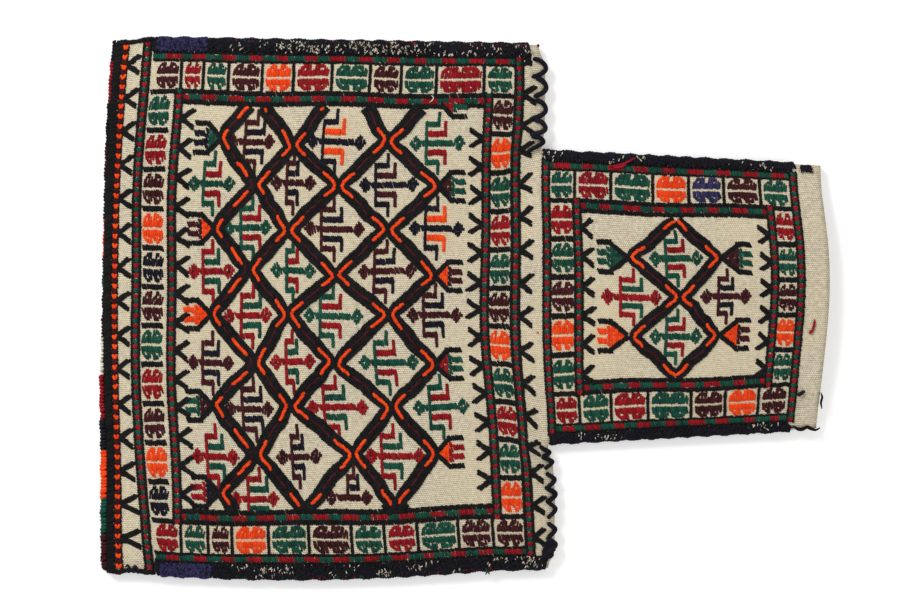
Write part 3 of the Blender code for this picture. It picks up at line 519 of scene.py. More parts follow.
# The upper seam ends in a few black turns
draw("black", box(285 * MM, 293.5 * MM, 172 * MM, 180 * MM), slant=20, piece="seam_mats")
draw("black", box(0.4 * MM, ember_end, -FOOT_REACH, FOOT_REACH), slant=-12)
cross_stripe(2.6 * MM, ember_end, -FOOT_REACH, FOOT_REACH, ("orange", "ember"), core=3.3 * MM)
draw_stripes(BODY_BANDS, 0.0, "", "foot_blocks")
draw_stripes(NECK_BANDS, NECK_OFFSET, "neck_", "neck_foot_stripe")
print(len(chart), "outlines for the stripes")

# %% [markdown]
# ## Borders of split blocks
#
# Each block is two cushions of one colour with a slit of bare ground between them. The outer corners are cut
# off, a notch comes in from the outside, and two pinholes sit beside it. The blocks' lengths are listed as
# shares, so each border fits its stripe whatever its length.

# %% Draw the blocks
SEPARATOR = 2.2 * MM
SLIT = 0.95 * MM  # half of it
CORNER_CUT = 4.0 * MM
PINHOLE = 0.65 * MM  # half of it


def draw_block(yarn, u0, u1, v0, v1):
    """One block on its patch of bare ground."""
    middle = (v0 + v1) / 2
    shift = chance.uniform(-0.3, 0.3) * MM
    for side in (1, -1):
        near, far = middle + side * SLIT, (v1 if side > 0 else v0)
        depth = far - near
        cut = min(CORNER_CUT, (u1 - u0) / 4)
        centre = (u0 + u1) / 2 + shift + chance.uniform(-0.4, 0.4) * MM
        cushion = [
            (u0, near), (u1, near), (u1, near + depth * 0.55), (u1 - cut, far),
            (centre + 1.3 * MM, far), (centre + 0.7 * MM, far - depth * 0.42),
            (centre - 0.9 * MM, far - depth * 0.42), (centre - 1.5 * MM, far),
            (u0 + cut, far), (u0, near + depth * 0.55),
        ]
        draw(yarn, cushion, slant=side * 9, piece="blocks", wrap=1.25 * MM)
        for way in (-1, 1):
            hole = centre + way * (u1 - u0) * 0.27
            draw(None, box(hole - PINHOLE, hole + PINHOLE, near + depth * 0.52, near + depth * 0.68))


def draw_block_row(blocks, u0, u1, v0, v1):
    """Blocks along the cloth: pairs of yarn and share."""
    total = sum(share for _, share in blocks)
    start = u0
    for k, (yarn, share) in enumerate(blocks):
        end = start + (u1 - u0) * share / total
        gap = 3.0 * MM if k else 1.4 * MM
        draw_block(yarn, start + gap, end - 2.1 * MM, v0 + 0.6 * MM, v1 - 0.6 * MM)
        if k + 1 < len(blocks):
            bar = [(end, v0 - 0.3 * MM), (end, v1 + 0.3 * MM)]
            run_rope("black", bar, SEPARATOR / 2, "stripes", rows=2, turned=8)
        start = end


def draw_block_column(yarns, u0, u1, v0, v1):
    """Blocks across the cloth, from the top down."""
    step = (v1 - v0) / len(yarns)
    for k, yarn in enumerate(yarns):
        top = v1 - step * k
        draw_block(yarn, u0, u1, top - step + 3.1 * MM, top - 3.1 * MM)
        if k:
            draw("black", box(u0 - 0.4 * MM, u1 + 0.4 * MM, top - 1.9 * MM, top + 1.9 * MM), slant=-16)


def draw_end_bars(start, end, prefix, block_in, width, offset=0.0):
    """Black bars between the rows and the columns of blocks, beside the field's corners."""
    for side in (1, -1):
        beside = span(side, block_in, block_in - width, offset)
        draw("black", box(start, BANDS[f"{prefix}field_foot_stripe"][0] + 1 * MM, *beside), slant=-16)
        draw("black", box(BANDS[f"{prefix}field_head_stripe"][1] - 1 * MM, end, *beside), slant=-16)


UPPER_BLOCKS = (
    ("maroon", 26), ("red", 22), ("green", 25), ("maroon", 33), ("orange", 31), ("red", 38),
    ("green", 38), ("maroon", 31), ("green", 35), ("red", 47), ("green", 30),
)
LOWER_BLOCKS = (
    ("red", 30), ("green", 27), ("maroon", 24), ("orange", 37), ("green", 41), ("maroon", 43),
    ("green", 33), ("red", 33), ("green", 41), ("maroon", 35), ("maroon", 33),
)
NECK_UPPER_BLOCKS = (
    ("green", 25), ("red", 36), ("green", 42), ("orange", 36), ("violet", 35), ("maroon", 36), ("green", 30),
)
NECK_LOWER_BLOCKS = (
    ("red", 25), ("green", 32), ("red", 37), ("green", 43), ("maroon", 34), ("orange", 33), ("maroon", 30),
)
FOOT_BLOCKS = "green red maroon orange navy maroon green red maroon orange navy".split()
HEAD_BLOCKS = "maroon orange green red green maroon orange green red green orange".split()
NECK_BLOCKS = "red green maroon orange green".split()

block_in, block_out = BODY_BANDS["blocks"]
ends = BANDS["foot_blocks"][0], BANDS["head_stripe"][0]
draw_block_row(UPPER_BLOCKS, ends[0] + 2.2 * MM, ends[1], block_in, block_out)
draw_block_row(LOWER_BLOCKS, ends[0] + 2.0 * MM, ends[1] + 1.0 * MM, -block_out, -block_in)
draw_end_bars(ends[0], ends[1] + 1 * MM, "", block_in, 3.4 * MM)
inside = -block_in + 1.7 * MM, block_in - 1.7 * MM
draw_block_column(FOOT_BLOCKS, *BANDS["foot_blocks"], *inside)
draw_block_column(
    HEAD_BLOCKS, BANDS["head_blocks"][0] + 0.6 * MM, BANDS["head_blocks"][1] - 0.6 * MM, *inside,
)

block_in, block_out = NECK_BANDS["blocks"]
ends = BANDS["neck_foot_blocks"][0], BANDS["neck_head_stripe"][0]
for side, blocks in ((1, NECK_UPPER_BLOCKS), (-1, NECK_LOWER_BLOCKS)):
    draw_block_row(blocks, *ends, *span(side, block_in, block_out, NECK_OFFSET))
draw_end_bars(ends[0] - 1 * MM, ends[1] + 1 * MM, "neck_", block_in, 3.2 * MM, NECK_OFFSET)
inside = NECK_OFFSET - block_in + 1.7 * MM, NECK_OFFSET + block_in - 1.7 * MM
for band in ("neck_foot_blocks", "neck_head_blocks"):
    draw_block_column(NECK_BLOCKS, BANDS[band][0] + 0.6 * MM, BANDS[band][1] - 0.4 * MM, *inside)
print(len(chart), "outlines with the borders")

# %% [markdown]
# ## Hooks, lattice and figures
#
# The field is a net of black zigzags that touch at their elbows. Each carries a dashed core, bright orange
# round the elbows and dark between. A knobbed bar with two pairs of hooks fills each diamond, and forked
# hands reach out of the outermost elbows. Along the stripes stand rows of V-shaped hooks.

# %% Draw the V-shaped hooks
# Band, side it springs from, reach, number, middle of the row and pitch, in mm
HOOKS = (
    ("foot_hooks", 1, 8.4, 15, 3.5, 23.8), ("field", 1, 8.6, 14, -0.7, 20.1),
    ("field", -1, 8.4, 13, -2.4, 20.2), ("head_hooks", 1, 8.0, 15, -6.3, 22.6),
    ("neck_field", 1, 7.2, 6, 3.5, 19.6), ("neck_field", -1, 6.8, 6, 2.8, 19.1),
)


def draw_hooks(band, side, reach, count, middle, pitch):
    """A row of hooks that spring in pairs of arms from a stripe's edge."""
    u0, u1 = BANDS[band]
    root = u0 if side > 0 else u1
    for k in range(count):
        v = (middle + ((count - 1) / 2 - k) * pitch + chance.uniform(-0.6, 0.6)) * MM
        for way in (1, -1):
            tip = reach + chance.uniform(-0.6, 0.4)
            arm = ((-0.6, 0.8), (reach * 0.3, 1.9), (tip, 3.2 + reach * 0.34))
            line = [(root + side * out * MM, v + way * aside * MM) for out, aside in arm]
            run_rope("black", line, 1.9 * MM, "hooks", rows=2)


half = BODY_BANDS["field"][1]
for hook in HOOKS:
    draw_hooks(*hook)
print(len(ropes), "stitches laid along lines")

# %% Draw the figures in the diamonds
COLUMNS = (74.8 * MM, 102.6 * MM, 127.0 * MM, 161.1 * MM, 196.5 * MM, 229.9 * MM)
ROW = 30.9 * MM
FIRST_ROW = 24.8 * MM
NECK_COLUMNS = (361.3 * MM, 397.6 * MM, 427.7 * MM)
NECK_ROW = 27.0 * MM
# Per column, in mm: place beside the column, half the bar, the stem and the inner riser from its middle
FIGURES = (
    (-2.8, 16.0, -5.6, 6.3), (-5.2, 16.6, -4.4, 9.6), (2.0, 15.4, -4.6, 3.8),
    (-3.5, 20.6, -9.2, 5.8), (-1.5, 20.2, -9.2, 5.2), (-1.5, 19.0, -7.8, 6.4),
)
LAST_FIGURE = (1.2, 16.2, -0.6, 7.4)
# Per row, in mm: how far the figures stand off it
FIGURE_DRIFT = (0.0, 1.5, 1.0, 2.0, 1.5, 0.0, -1.0, -3.5, -1.0)
NECK_FIGURES = ((2.6, 20.6, -7.6, 7.9), (-2.0, 18.2, -6.9, 6.2), (2.0, 17.6, -5.2, 5.5))
# The outline of the knob at a bar's tip, inwards and across, in mm
KNOB = ((-0.4, 0.0), (3.7, -5.9), (7.4, -1.9), (7.4, 1.9), (3.7, 5.9))


def draw_figure(u, v, size, yarns, tall=1.0, foot=-1.0, upper_only=False):
    """A knobbed bar with a stem across it, and on each side an outer and an inner hook.

    Nothing of it goes past `foot`, where a stripe is in the way.
    """
    bar, hook = yarns.split()
    shift, half_bar, stem, inner = (s * MM for s in size)
    u += shift
    outer_riser = stem + (inner - stem) * 0.66
    how = {"piece": "figures", "wrap": 1.4 * MM}

    def riser(yarn, place, side, near, far, width):
        line = [(u + place, max(foot, v + side * end * tall * MM)) for end in (near, far)]
        if line[0][1] != line[1][1]:
            run_rope(yarn, line, width, "figures")

    def arm(yarn, first, last, side, near, far):
        low, high = sorted(v + side * end * tall * MM for end in (near, far))
        if high > foot:
            draw(yarn, box(u + first, u + last, max(low, foot), high), slant=-12, **how)

    # Distances from the middle of the bar, in mm
    for side in (1,) if upper_only else (1, -1):
        riser(bar, outer_riser - 1 * MM, side, 13.9, 22.2, 1.9 * MM)
        arm(bar, stem, outer_riser, side, 11.8, 15.8)
        riser(hook, inner - 1 * MM, side, 6.8, 15.4, 2.0 * MM)
        arm(hook, stem + 1.0 * MM, inner, side, 4.6, 8.9)
    draw(bar, box(u - half_bar + 5 * MM, u + half_bar - 5 * MM, v - 2.2 * MM, v + 2.2 * MM), slant=-24, **how)
    for way in (1, -1):
        tip = u - way * half_bar
        knob = [(tip + way * inwards * MM, v + across * MM) for inwards, across in KNOB]
        draw(bar, knob, slant=-way * 6, **how)
        eye_yarn = "cream" if bar == "green" else "black"
        ropes.append(Rope(eye_yarn, tip + way * 3.6 * MM, v, 0.2, 0.9 * MM, 1.3 * MM, "eyes"))
    riser(bar, stem, 1, 0.0 if upper_only else -15.4, 15.4, 1.8 * MM)


def draw_hand(u, v, side, fingers, palm, ways=(1, -1), wrist=8.4, reach=18.4):
    """Two bent arms from an elbow of the lattice, round two fingers on a palm."""
    wrist, reach = side * wrist * MM, side * reach * MM
    for way in ways:
        arm = [(u, v + way * 0.6 * MM), (u + wrist, v + way * 9.6 * MM)]
        run_rope("black", arm, 1.9 * MM, "hands", rows=2)
        draw("black", box(u + wrist * 0.86, u + reach, *span(way, 8.2 * MM, 11.8 * MM, v)), piece="hands")
        wedge = [(u + wrist * 0.16, v), (u + wrist, v + way * 8.2 * MM), (u + wrist, v)]
        draw(palm, wedge, slant=6, piece="figures")
        comb = u + wrist + side * 2.4 * MM
        draw(fingers, box(u + wrist, comb, v, v + way * 6.9 * MM), piece="figures", wrap=1.2 * MM)
        draw(fingers, box(comb, u + reach, *span(way, 1.2 * MM, 5.2 * MM, v)), piece="figures")


FIGURE_YARNS = (
    ("maroon navy", "navy orange", "green red"), ("green red", "maroon navy", "navy maroon"),
    ("green red", "maroon navy", "navy orange"), ("red green", "green red", "maroon navy"),
    ("red green", "green red", "maroon navy"), ("maroon navy", "red green", "green red"),
    ("maroon navy", "red green", "green red"), ("red green", "maroon navy", "red green"),
    ("red green", "maroon navy"),
)
rows = [half - FIRST_ROW + ROW * (1 - k) for k in range(12)]
for row, yarns in enumerate(FIGURE_YARNS, 1):
    last = row == len(FIGURE_YARNS)
    for column, pair in zip(range(row % 2, len(COLUMNS), 2), yarns):
        squeezed = last and column == 3
        size = LAST_FIGURE if squeezed else FIGURES[column]
        v = rows[row] + FIGURE_DRIFT[row - 1] * MM
        draw_figure(COLUMNS[column], v, size, pair, foot=-half, upper_only=squeezed)
neck_rows = [NECK_OFFSET + NECK_ROW * (2 - k) for k in range(5)]
for column, row, yarns in (
    (1, 1, "green red"), (1, 3, "green red"), (0, 2, "red green"), (2, 2, "maroon navy"),
):
    draw_figure(NECK_COLUMNS[column], neck_rows[row], NECK_FIGURES[column], yarns, tall=0.87)
print(len(chart), "outlines with the figures")

# %% Draw the hands and the lattice
# How far each touching point of the net is off its column (along) and its row (across), in mm
NODE_DRIFT = {
    (0, 1): (1, 2), (2, 1): (0.5, -4), (4, 1): (-3, 1.5), (1, 2): (0.5, 1.5), (3, 2): (-1, 1),
    (0, 3): (-0.5, 1), (2, 3): (-1.5, -1), (4, 3): (-2, 0),
    (1, 4): (-4, 2), (3, 4): (-2, 0), (5, 4): (-1, -1.5),
    (0, 5): (-3.5, 3), (2, 5): (-1.5, 2), (4, 5): (-0.5, 1.5), (3, 6): (-4, -1), (5, 6): (-2.5, -2.5),
    (0, 7): (-2.5, 0.5), (2, 7): (-1, 0), (4, 7): (-2, 0),
    (1, 8): (-2, -1.5), (3, 8): (5, -3), (5, 8): (-6, -2),
    (0, 9): (-2, 3), (2, 9): (4.5, -9), (4, 9): (-2, -5.5),
}


def node_place(column, row):
    """Where a touching point of the net lies on the grid."""
    along, across = NODE_DRIFT.get((column, row), (0, 0))
    return COLUMNS[column] + along * MM, rows[row] + across * MM


LEFT_HANDS = (
    ("navy", "green"), ("maroon", "orange"), ("orange", "orange"), ("green", "maroon"), ("red", "navy"),
)
RIGHT_HANDS = (("green", "maroon"), ("maroon", "orange"), ("green", "red"), ("red", "orange"))
for k, (fingers, palm) in enumerate(LEFT_HANDS):
    u, v = node_place(0, 2 * k + 1)
    draw_hand(u, v, -1, fingers, palm)
draw_hand(COLUMNS[-1], rows[0] - 2 * MM, 1, "green", "red", ways=(-1,))
for k, (fingers, palm) in enumerate(RIGHT_HANDS, 1):
    u, v = node_place(5, 2 * k)
    draw_hand(u, v, 1, fingers, palm)
for column, row, side, fingers, palm in (
    (0, 1, -1, "green", "green"), (0, 3, -1, "orange", "orange"), (2, 1, 1, "green", "maroon"),
    (2, 3, 1, "maroon", "orange"),
):
    draw_hand(NECK_COLUMNS[column], neck_rows[row], side, fingers, palm, wrist=11.4, reach=20.4)

CORE = 2.4 * MM  # width of the dashed core
SIDE_ROW = 1.9 * MM  # width of one of the two black rows on each side of it
ELBOW = 1.3 * MM  # how far an elbow keeps off the touching point
SOFTEN = 0.07  # how far an elbow is rounded, as a share of a run
PINCH = 0.2  # how much the rows close up at an elbow


def draw_zigzag(line, dashes, foot, head, side_row=SIDE_ROW):
    """Black rows on both sides of a dashed core, along a zigzag with softened elbows."""
    line = np.array(line)
    corner = np.arange(len(line))
    drift = chance.normal(0, 0.55 * MM, (2, len(line) * 5))
    places = np.linspace(0, len(line) - 1, len(line) * 5)
    t = np.linspace(0, len(line) - 1, (len(line) - 1) * 24 + 1)
    path = np.stack([
        np.mean([np.interp(t + shift * SOFTEN, corner, line[:, axis]) for shift in (-1, 0, 1)], 0)
        for axis in (0, 1)
    ], -1)
    path = path + np.stack([np.interp(t, places, d) for d in drift], -1)
    inside = (path[:, 1] > foot) & (path[:, 1] < head)
    t, path = t[inside], path[inside]
    open_field = (path[:, 1] > foot + 3.5 * MM) & (path[:, 1] < head - 1.5 * MM)
    run = unit(np.gradient(path, axis=0))
    aside = np.stack([-run[:, 1], run[:, 0]], -1)
    spread = 1 - PINCH * (1 - smooth(np.abs(t - np.round(t)) / 0.3))[:, None]
    for side in (1, -1):
        for row in (0, 1):
            away = side * (CORE / 2 + (row + 0.42) * side_row)
            row_path = path + aside * away * spread
            run_rope("black", row_path, side_row * 1.12, "lattice", pitch=1.9 * MM, turned=13 * side)
    run_rope("black", path, CORE, "lattice")
    for start in range(int(t[0]), int(t[-1]) + 1):
        for yarn, a, b in dashes[start % 2]:
            held = (t >= start + a - 0.001) & (t <= start + b + 0.001) & open_field
            if np.count_nonzero(held) > 1:
                width = CORE * (0.8 if yarn == "orange" else 0.58)
                run_rope(yarn, path[held], width, "cores", pitch=1.8 * MM, turned=16)


# On a falling run from the left elbow to the right one, and on the run back
EVEN_DASHES = (("orange", 0.0, 0.27), ("maroon", 0.31, 0.66), ("orange", 0.7, 1.0))
FIRST_DASHES = (("orange", 0.0, 0.22), ("maroon", 0.26, 0.42), ("orange", 0.46, 0.84), ("maroon", 0.88, 1.0))
FIRST_BACK = (("maroon", 0.0, 0.12), ("orange", 0.16, 0.5), ("maroon", 0.54, 0.74), ("orange", 0.78, 1.0))
# The weaver started the net unevenly: how far the first elbows are from their columns
START_SHIFTS = (-5.5 * MM, -3.6 * MM, -8.9 * MM, 12.0 * MM, -7.3 * MM)
for k in range(len(COLUMNS) - 1):
    line = []
    for row in range(len(rows)):
        on_right = (row + k + 1) % 2
        u, v = node_place(k + on_right, row)
        line.append((u - ELBOW if on_right else u + ELBOW, v))
    line[0] = (line[0][0] + START_SHIFTS[k], line[0][1])
    dashes = (EVEN_DASHES, EVEN_DASHES) if k else (FIRST_BACK, FIRST_DASHES)
    draw_zigzag(line, dashes, -half - 1 * MM, half + 1 * MM)
for outside, side in ((NECK_COLUMNS[0], -1), (NECK_COLUMNS[2], 1)):
    outer_elbow = outside - side * 3.0 * MM
    centre_line = NECK_COLUMNS[1] + np.array([0, 0, side * ELBOW, 0, 0])
    line = [(outer_elbow if row % 2 else centre_line[row], v) for row, v in enumerate(neck_rows)]
    draw_zigzag(line, (EVEN_DASHES, EVEN_DASHES), -1, 1, side_row=SIDE_ROW * 0.86)
print(len(ropes), "stitches laid along lines")
print(len(chart), "outlines in the chart")

# %% [markdown]
# ## Working the chart
#
# Each outline is worked row by row. A row is a line across the cloth. Where it crosses the outline there is
# a stretch to fill, less whatever later outlines cover, and the stretch is filled with stitches of about
# 4 mm. The edges come out toothed, row against row, exactly as they do on the loom.


# %% Find every stitch
def crossings(points, u):
    """The stretches of the line across the cloth at u that lie inside an outline."""
    marks = []
    for (u0, v0), (u1, v1) in zip(points, points[1:] + points[:1]):
        if (u0 <= u) != (u1 <= u):
            marks.append(v0 + (v1 - v0) * (u - u0) / (u1 - u0))
    marks.sort()
    return list(zip(marks[::2], marks[1::2]))


def without(stretches, covered):
    """What is left of the stretches outside the covered ones."""
    for low, high in covered:
        left = []
        for a, b in stretches:
            if high <= a or low >= b:
                left.append((a, b))
                continue
            if low > a:
                left.append((a, low))
            if high < b:
                left.append((high, b))
        stretches = left
    return stretches


# The box of each outline: lowest and highest u, then lowest and highest v
reach = np.array([[end(places) for places in zip(*o.points) for end in (min, max)] for o in chart])
STITCH = 4.2 * MM
OVERLAP = 0.25 * MM
SHORTEST = 0.5 * MM
# How far the stitches of lines stand over the ground, in mm, where they lie on other yarn and elsewhere
RAISED = {"lattice": 0.42, "cores": 0.75, "hearts": 0.3, "eyes": 0.6, "seam_fuzz": 1.25}
RAISED_ELSEWHERE = 0.18
stitches = {}
for index, outline in enumerate(chart):
    if outline.yarn is None:
        continue
    u_low, u_high, v_low, v_high = reach[index]
    later = reach[index + 1:]
    touching = (later[:, 0] < u_high) & (later[:, 1] > u_low) & (later[:, 2] < v_high) & (later[:, 3] > v_low)
    covers = [chart[index + 1 + k] for k in np.flatnonzero(touching)]
    count = max(1, round((u_high - u_low) / outline.wrap))
    width = (u_high - u_low) / count
    found = stitches.setdefault((outline.piece, outline.yarn), [])
    turn = math.radians(outline.slant)
    for row in range(count):
        u = u_low + (row + 0.5) * width
        stretches = crossings(outline.points, u)
        for cover in covers:
            stretches = without(stretches, crossings(cover.points, u))
        for low, high in stretches:
            if high - low < SHORTEST:
                continue
            parts = max(1, round((high - low) / STITCH))
            step = (high - low) / parts
            long = (step + 2 * OVERLAP) / math.cos(turn)
            for k in range(parts):
                found.append((u, low + (k + 0.5) * step, turn, width * math.cos(turn) ** 0.5, long, 0.0))
for rope in ropes:
    found = stitches.setdefault((rope.piece, rope.yarn), [])
    found.append((*rope[1:6], RAISED.get(rope.piece, RAISED_ELSEWHERE) * MM))
print(sum(map(len, stitches.values())), "stitches in", len(stitches), "groups")

# %% [markdown]
# ## Geometry Nodes: one stitch, many times
#
# A wrapped stitch is a short plump spindle, sunk halfway into the cloth. The tree puts one on each point of
# a cloud, turned and scaled by the point's own numbers. It ends in real mesh, because an export keeps no
# instances.


# %% The stitch tree
def new_tree(name):
    """An empty geometry tree. Its inputs are the seed mesh, the number of sides and the yarn's finish."""
    tree = bpy.data.node_groups.new(name, "GeometryNodeTree")
    for label, kind in (("Geometry", "Geometry"), ("Sides", "Int"), ("Yarn", "Material")):
        tree.interface.new_socket(label, in_out="INPUT", socket_type=f"NodeSocket{kind}")
    tree.interface.new_socket("Geometry", in_out="OUTPUT", socket_type="NodeSocketGeometry")
    return tree, tree.nodes.new("NodeGroupInput")


def add(tree, kind, links, settings=None, output=0):
    """A node with its settings and its sockets, by name or number, set or linked."""
    node = tree.nodes.new(kind)
    for name, value in (settings or {}).items():
        setattr(node, name, value)
    for key, value in links.items():
        if isinstance(value, bpy.types.NodeSocket):
            tree.links.new(value, node.inputs[key])
        else:
            node.inputs[key].default_value = value
    return node.outputs[output]


def named(tree, name, kind):
    return add(tree, "GeometryNodeInputNamedAttribute", {"Name": name}, {"data_type": kind})


def end_tree(tree, source, geometry):
    """Smooth shading, the yarn's finish, and the way out."""
    soft = add(tree, "GeometryNodeSetShadeSmooth", {"Geometry": geometry, "Shade Smooth": True})
    dyed = add(tree, "GeometryNodeSetMaterial", {"Geometry": soft, "Material": source.outputs["Yarn"]})
    tree.links.new(dyed, tree.nodes.new("NodeGroupOutput").inputs["Geometry"])
    return tree


def stitch_tree():
    tree, source = new_tree("wrapped_stitches")
    sides = source.outputs["Sides"]
    ball = add(tree, "GeometryNodeMeshUVSphere", {"Segments": sides, "Rings": 3, "Radius": 0.5})
    place = add(tree, "GeometryNodeInputPosition", {})
    height = add(tree, "ShaderNodeSeparateXYZ", {0: place}, output=2)
    depth = add(tree, "ShaderNodeMath", {0: height}, {"operation": "ABSOLUTE"})
    ease = add(tree, "ShaderNodeMath", {0: depth, 1: -1.9, 2: 0.95}, {"operation": "MULTIPLY_ADD"})
    push = add(tree, "ShaderNodeMath", {0: height, 1: ease}, {"operation": "MULTIPLY"})
    shift = add(tree, "ShaderNodeCombineXYZ", {2: push})
    plump = add(tree, "GeometryNodeSetPosition", {"Geometry": ball, "Offset": shift})
    spindle = add(tree, "GeometryNodeTransform", {"Geometry": plump, "Rotation": (-math.pi / 2, 0, 0)})
    turn = add(tree, "FunctionNodeEulerToRotation", {0: named(tree, "turn", "FLOAT_VECTOR")})
    placed = add(tree, "GeometryNodeInstanceOnPoints", {
        "Points": source.outputs["Geometry"], "Instance": spindle,
        "Rotation": turn, "Scale": named(tree, "size", "FLOAT_VECTOR"),
    })
    return end_tree(tree, source, add(tree, "GeometryNodeRealizeInstances", {"Geometry": placed}))


def grown(name, seed_mesh, tree, sides, yarn):
    """The plain mesh that a tree grows on a seed mesh, as a new piece that rides on the bag."""
    inputs = {"Sides": sides, "Yarn": WOOL[yarn]}
    seed = bpy.data.objects.new(f"{name}_seed", seed_mesh)
    bpy.context.scene.collection.objects.link(seed)
    modifier = seed.modifiers.new("grow", "NODES")
    modifier.node_group = tree
    for item in tree.interface.items_tree:
        if item.item_type == "SOCKET" and item.in_out == "INPUT" and item.name in inputs:
            modifier[item.identifier] = inputs[item.name]
    view = bpy.context.evaluated_depsgraph_get()
    mesh = bpy.data.meshes.new_from_object(seed.evaluated_get(view))
    bpy.data.objects.remove(seed)
    mesh.name = name
    piece = bpy.data.objects.new(name, mesh)
    bpy.context.scene.collection.objects.link(piece)
    piece["worked_yarn"] = True
    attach(piece, "root")
    return piece


STITCH_TREE = stitch_tree()
print("stitch tree:", len(STITCH_TREE.nodes), "nodes")


# %% Lay the stitches on the cloth
def euler_of(across, along, normal):
    """XYZ angles of the turns that take the axes to these directions."""
    turn = np.stack([across, along, normal], -1)
    x = np.arctan2(turn[:, 2, 1], turn[:, 2, 2])
    y = np.arctan2(-turn[:, 2, 0], np.hypot(turn[:, 0, 0], turn[:, 1, 0]))
    z = np.arctan2(turn[:, 1, 0], turn[:, 0, 0])
    return np.stack([x, y, z], -1)


def cloud(points, attributes):
    """A mesh of loose points with values on each."""
    mesh = bpy.data.meshes.new("cloud")
    mesh.vertices.add(len(points))
    mesh.vertices.foreach_set("co", np.asarray(points, np.float32).ravel())
    for name, values in attributes.items():
        values = np.asarray(values, np.float32)
        kind = "FLOAT_VECTOR" if values.ndim == 2 else "FLOAT"
        layer = mesh.attributes.new(name, kind, "POINT")
        layer.data.foreach_set("vector" if values.ndim == 2 else "value", values.ravel())
    return mesh


def lay(name, yarn, group, thick=1.2 * MM, lift=0.24 * MM):
    """A piece of wrapped yarn from its stitches."""
    u, v, turn, width, long, raised = np.array(group).T
    count = len(u)
    u = u + chance.normal(0, 0.10 * MM, count)
    v = v + chance.normal(0, 0.20 * MM, count)
    turn = turn + np.radians(chance.normal(0, 3.5, count))
    long = long * chance.uniform(0.96, 1.1, count)
    half_u, half_v = np.sin(turn) * long / 2, np.cos(turn) * long / 2
    start = on_bag(u - half_u, v - half_v, front_height(u - half_u, v - half_v))
    end = on_bag(u + half_u, v + half_v, front_height(u + half_u, v + half_v))
    centre = (start + end) / 2
    beside = on_bag(u + half_v, v - half_u, front_height(u + half_v, v - half_u))
    along = unit(end - start)
    normal = unit(np.cross(beside - centre, along))
    across = np.cross(along, normal)
    size = np.stack([width * chance.uniform(1.2, 1.38, count), np.linalg.norm(end - start, axis=-1),
                     thick * chance.uniform(0.9, 1.15, count)], -1)
    points = centre + normal * (lift + raised)[:, None]
    mesh = cloud(points, {
        "turn": euler_of(across, along, normal), "size": size, "tone": chance.uniform(0, 1, count),
    })
    return grown(name, mesh, STITCH_TREE, 6, yarn)


for (piece, yarn), group in sorted(stitches.items()):
    made = lay(f"{piece}_{yarn}", yarn, group)
    triangles = sum(len(p.vertices) - 2 for p in made.data.polygons)
    print(made.name, len(group), "stitches,", triangles, "triangles")

# %% [markdown]
# ## The cloth
#
# Under the wrapped yarn lies a plain weave of cream wool. It is a closed shell here: outer face, inner face
# and rims, with the mouth left open. The weave itself is far too fine to model, so it is a bump on the loom's
# own coordinates, which are stored as the UV map and follow every pull of the cloth. The same height paints
# the pits of the weave darker and its ridges lighter: painted shade and painted highlight. Where bright yarn
# lies near, some of its dye has bled into the cream.

# %% The ground weave's finish
WARP_PITCH = 1.4 * MM
WEFT_PITCH = 1.3 * MM
UV_SCALE = 2.0
UV_SHIFT = np.array([10 * MM, 0.2])  # keeps the map above 0
ground = Finish("ground_weave", roughness=0.93)
loom = ground.node("ShaderNodeUVMap", {"uv_map": "loom"})
loom_u, loom_v = (ground.node("ShaderNodeSeparateXYZ", output=axis, Vector=loom) for axis in (0, 1))
object_place = ground.node("ShaderNodeTexCoord", output=3)
wander = ground.node("ShaderNodeTexNoise", Vector=object_place, Scale=90.0, Detail=2.0)
rib = loom_v * (1 / (WARP_PITCH * UV_SCALE)) + wander * 1.1
pick = loom_u * (1 / (WEFT_PITCH * UV_SCALE)) + wander * 1.3
parity = rib.math("FLOOR", rib)
ridge = rib.math("ABSOLUTE", rib.math("SINE", rib * math.pi))
knuckle = pick.math("SINE", pick * (2 * math.pi) + parity * math.pi) * 0.5 + 0.5
height = ridge * (knuckle * 0.7 + 0.3)
fibre = ground.node("ShaderNodeTexNoise", Vector=object_place, Scale=1500.0, Detail=3.0)
slub = ground.node("ShaderNodeTexNoise", Vector=object_place, Scale=420.0, Detail=2.0)
blotch = ground.node("ShaderNodeTexNoise", Vector=object_place, Scale=16.0, Detail=3.0)
# Painted shade and highlight: the weave's height colours its pits darker (130, 110, 80) and its ridges
# lighter (252, 243, 217). The fibre and slub noise add random tone of the wool.
painted_pit_shade_and_slub = (height * 0.75 + fibre * 0.35 + slub * 0.7 - 0.33).clamped()
cream = ground.mix(painted_pit_shade_and_slub, dye(130, 110, 80), dye(252, 243, 217))
aged = ground.mix((blotch * 1.6 - 0.62).clamped(0.0, 0.6), cream, dye(222, 205, 168))
bleed = ground.node("ShaderNodeAttribute", {"attribute_name": "bleed"}, output=2)
stained = ground.mix((bleed * 0.34).clamped(), aged, dye(232, 150, 96))
ground.feed("Base Color", stained)
relief = height + fibre * 0.35
ground.feed("Normal", ground.node("ShaderNodeBump", Strength=0.8, Distance=0.5 * MM, Height=relief))
print("ground weave: ribs", WARP_PITCH * 1000, "mm apart")

# %% The shell of the cloth
STEP = 4 * MM


def marks(*stops):
    """Values from stop to stop, about a step apart, each stop among them."""
    values = [stops[0]]
    for a, b in zip(stops, stops[1:]):
        values += list(np.linspace(a, b, max(2, round((b - a) / STEP)) + 1)[1:])
    return np.array(values)


us = marks(0, SHOULDER, MOUTH)
vs = marks(-BODY_EDGE, NECK_OFFSET - NECK_EDGE, NECK_OFFSET + NECK_EDGE, BODY_EDGE)
grid_u, grid_v = np.meshgrid(us, vs, indexing="ij")
cell_u, cell_v = np.meshgrid((us[:-1] + us[1:]) / 2, (vs[:-1] + vs[1:]) / 2, indexing="ij")
kept = (cell_u < SHOULDER) | (np.abs(cell_v - NECK_OFFSET) < NECK_EDGE)

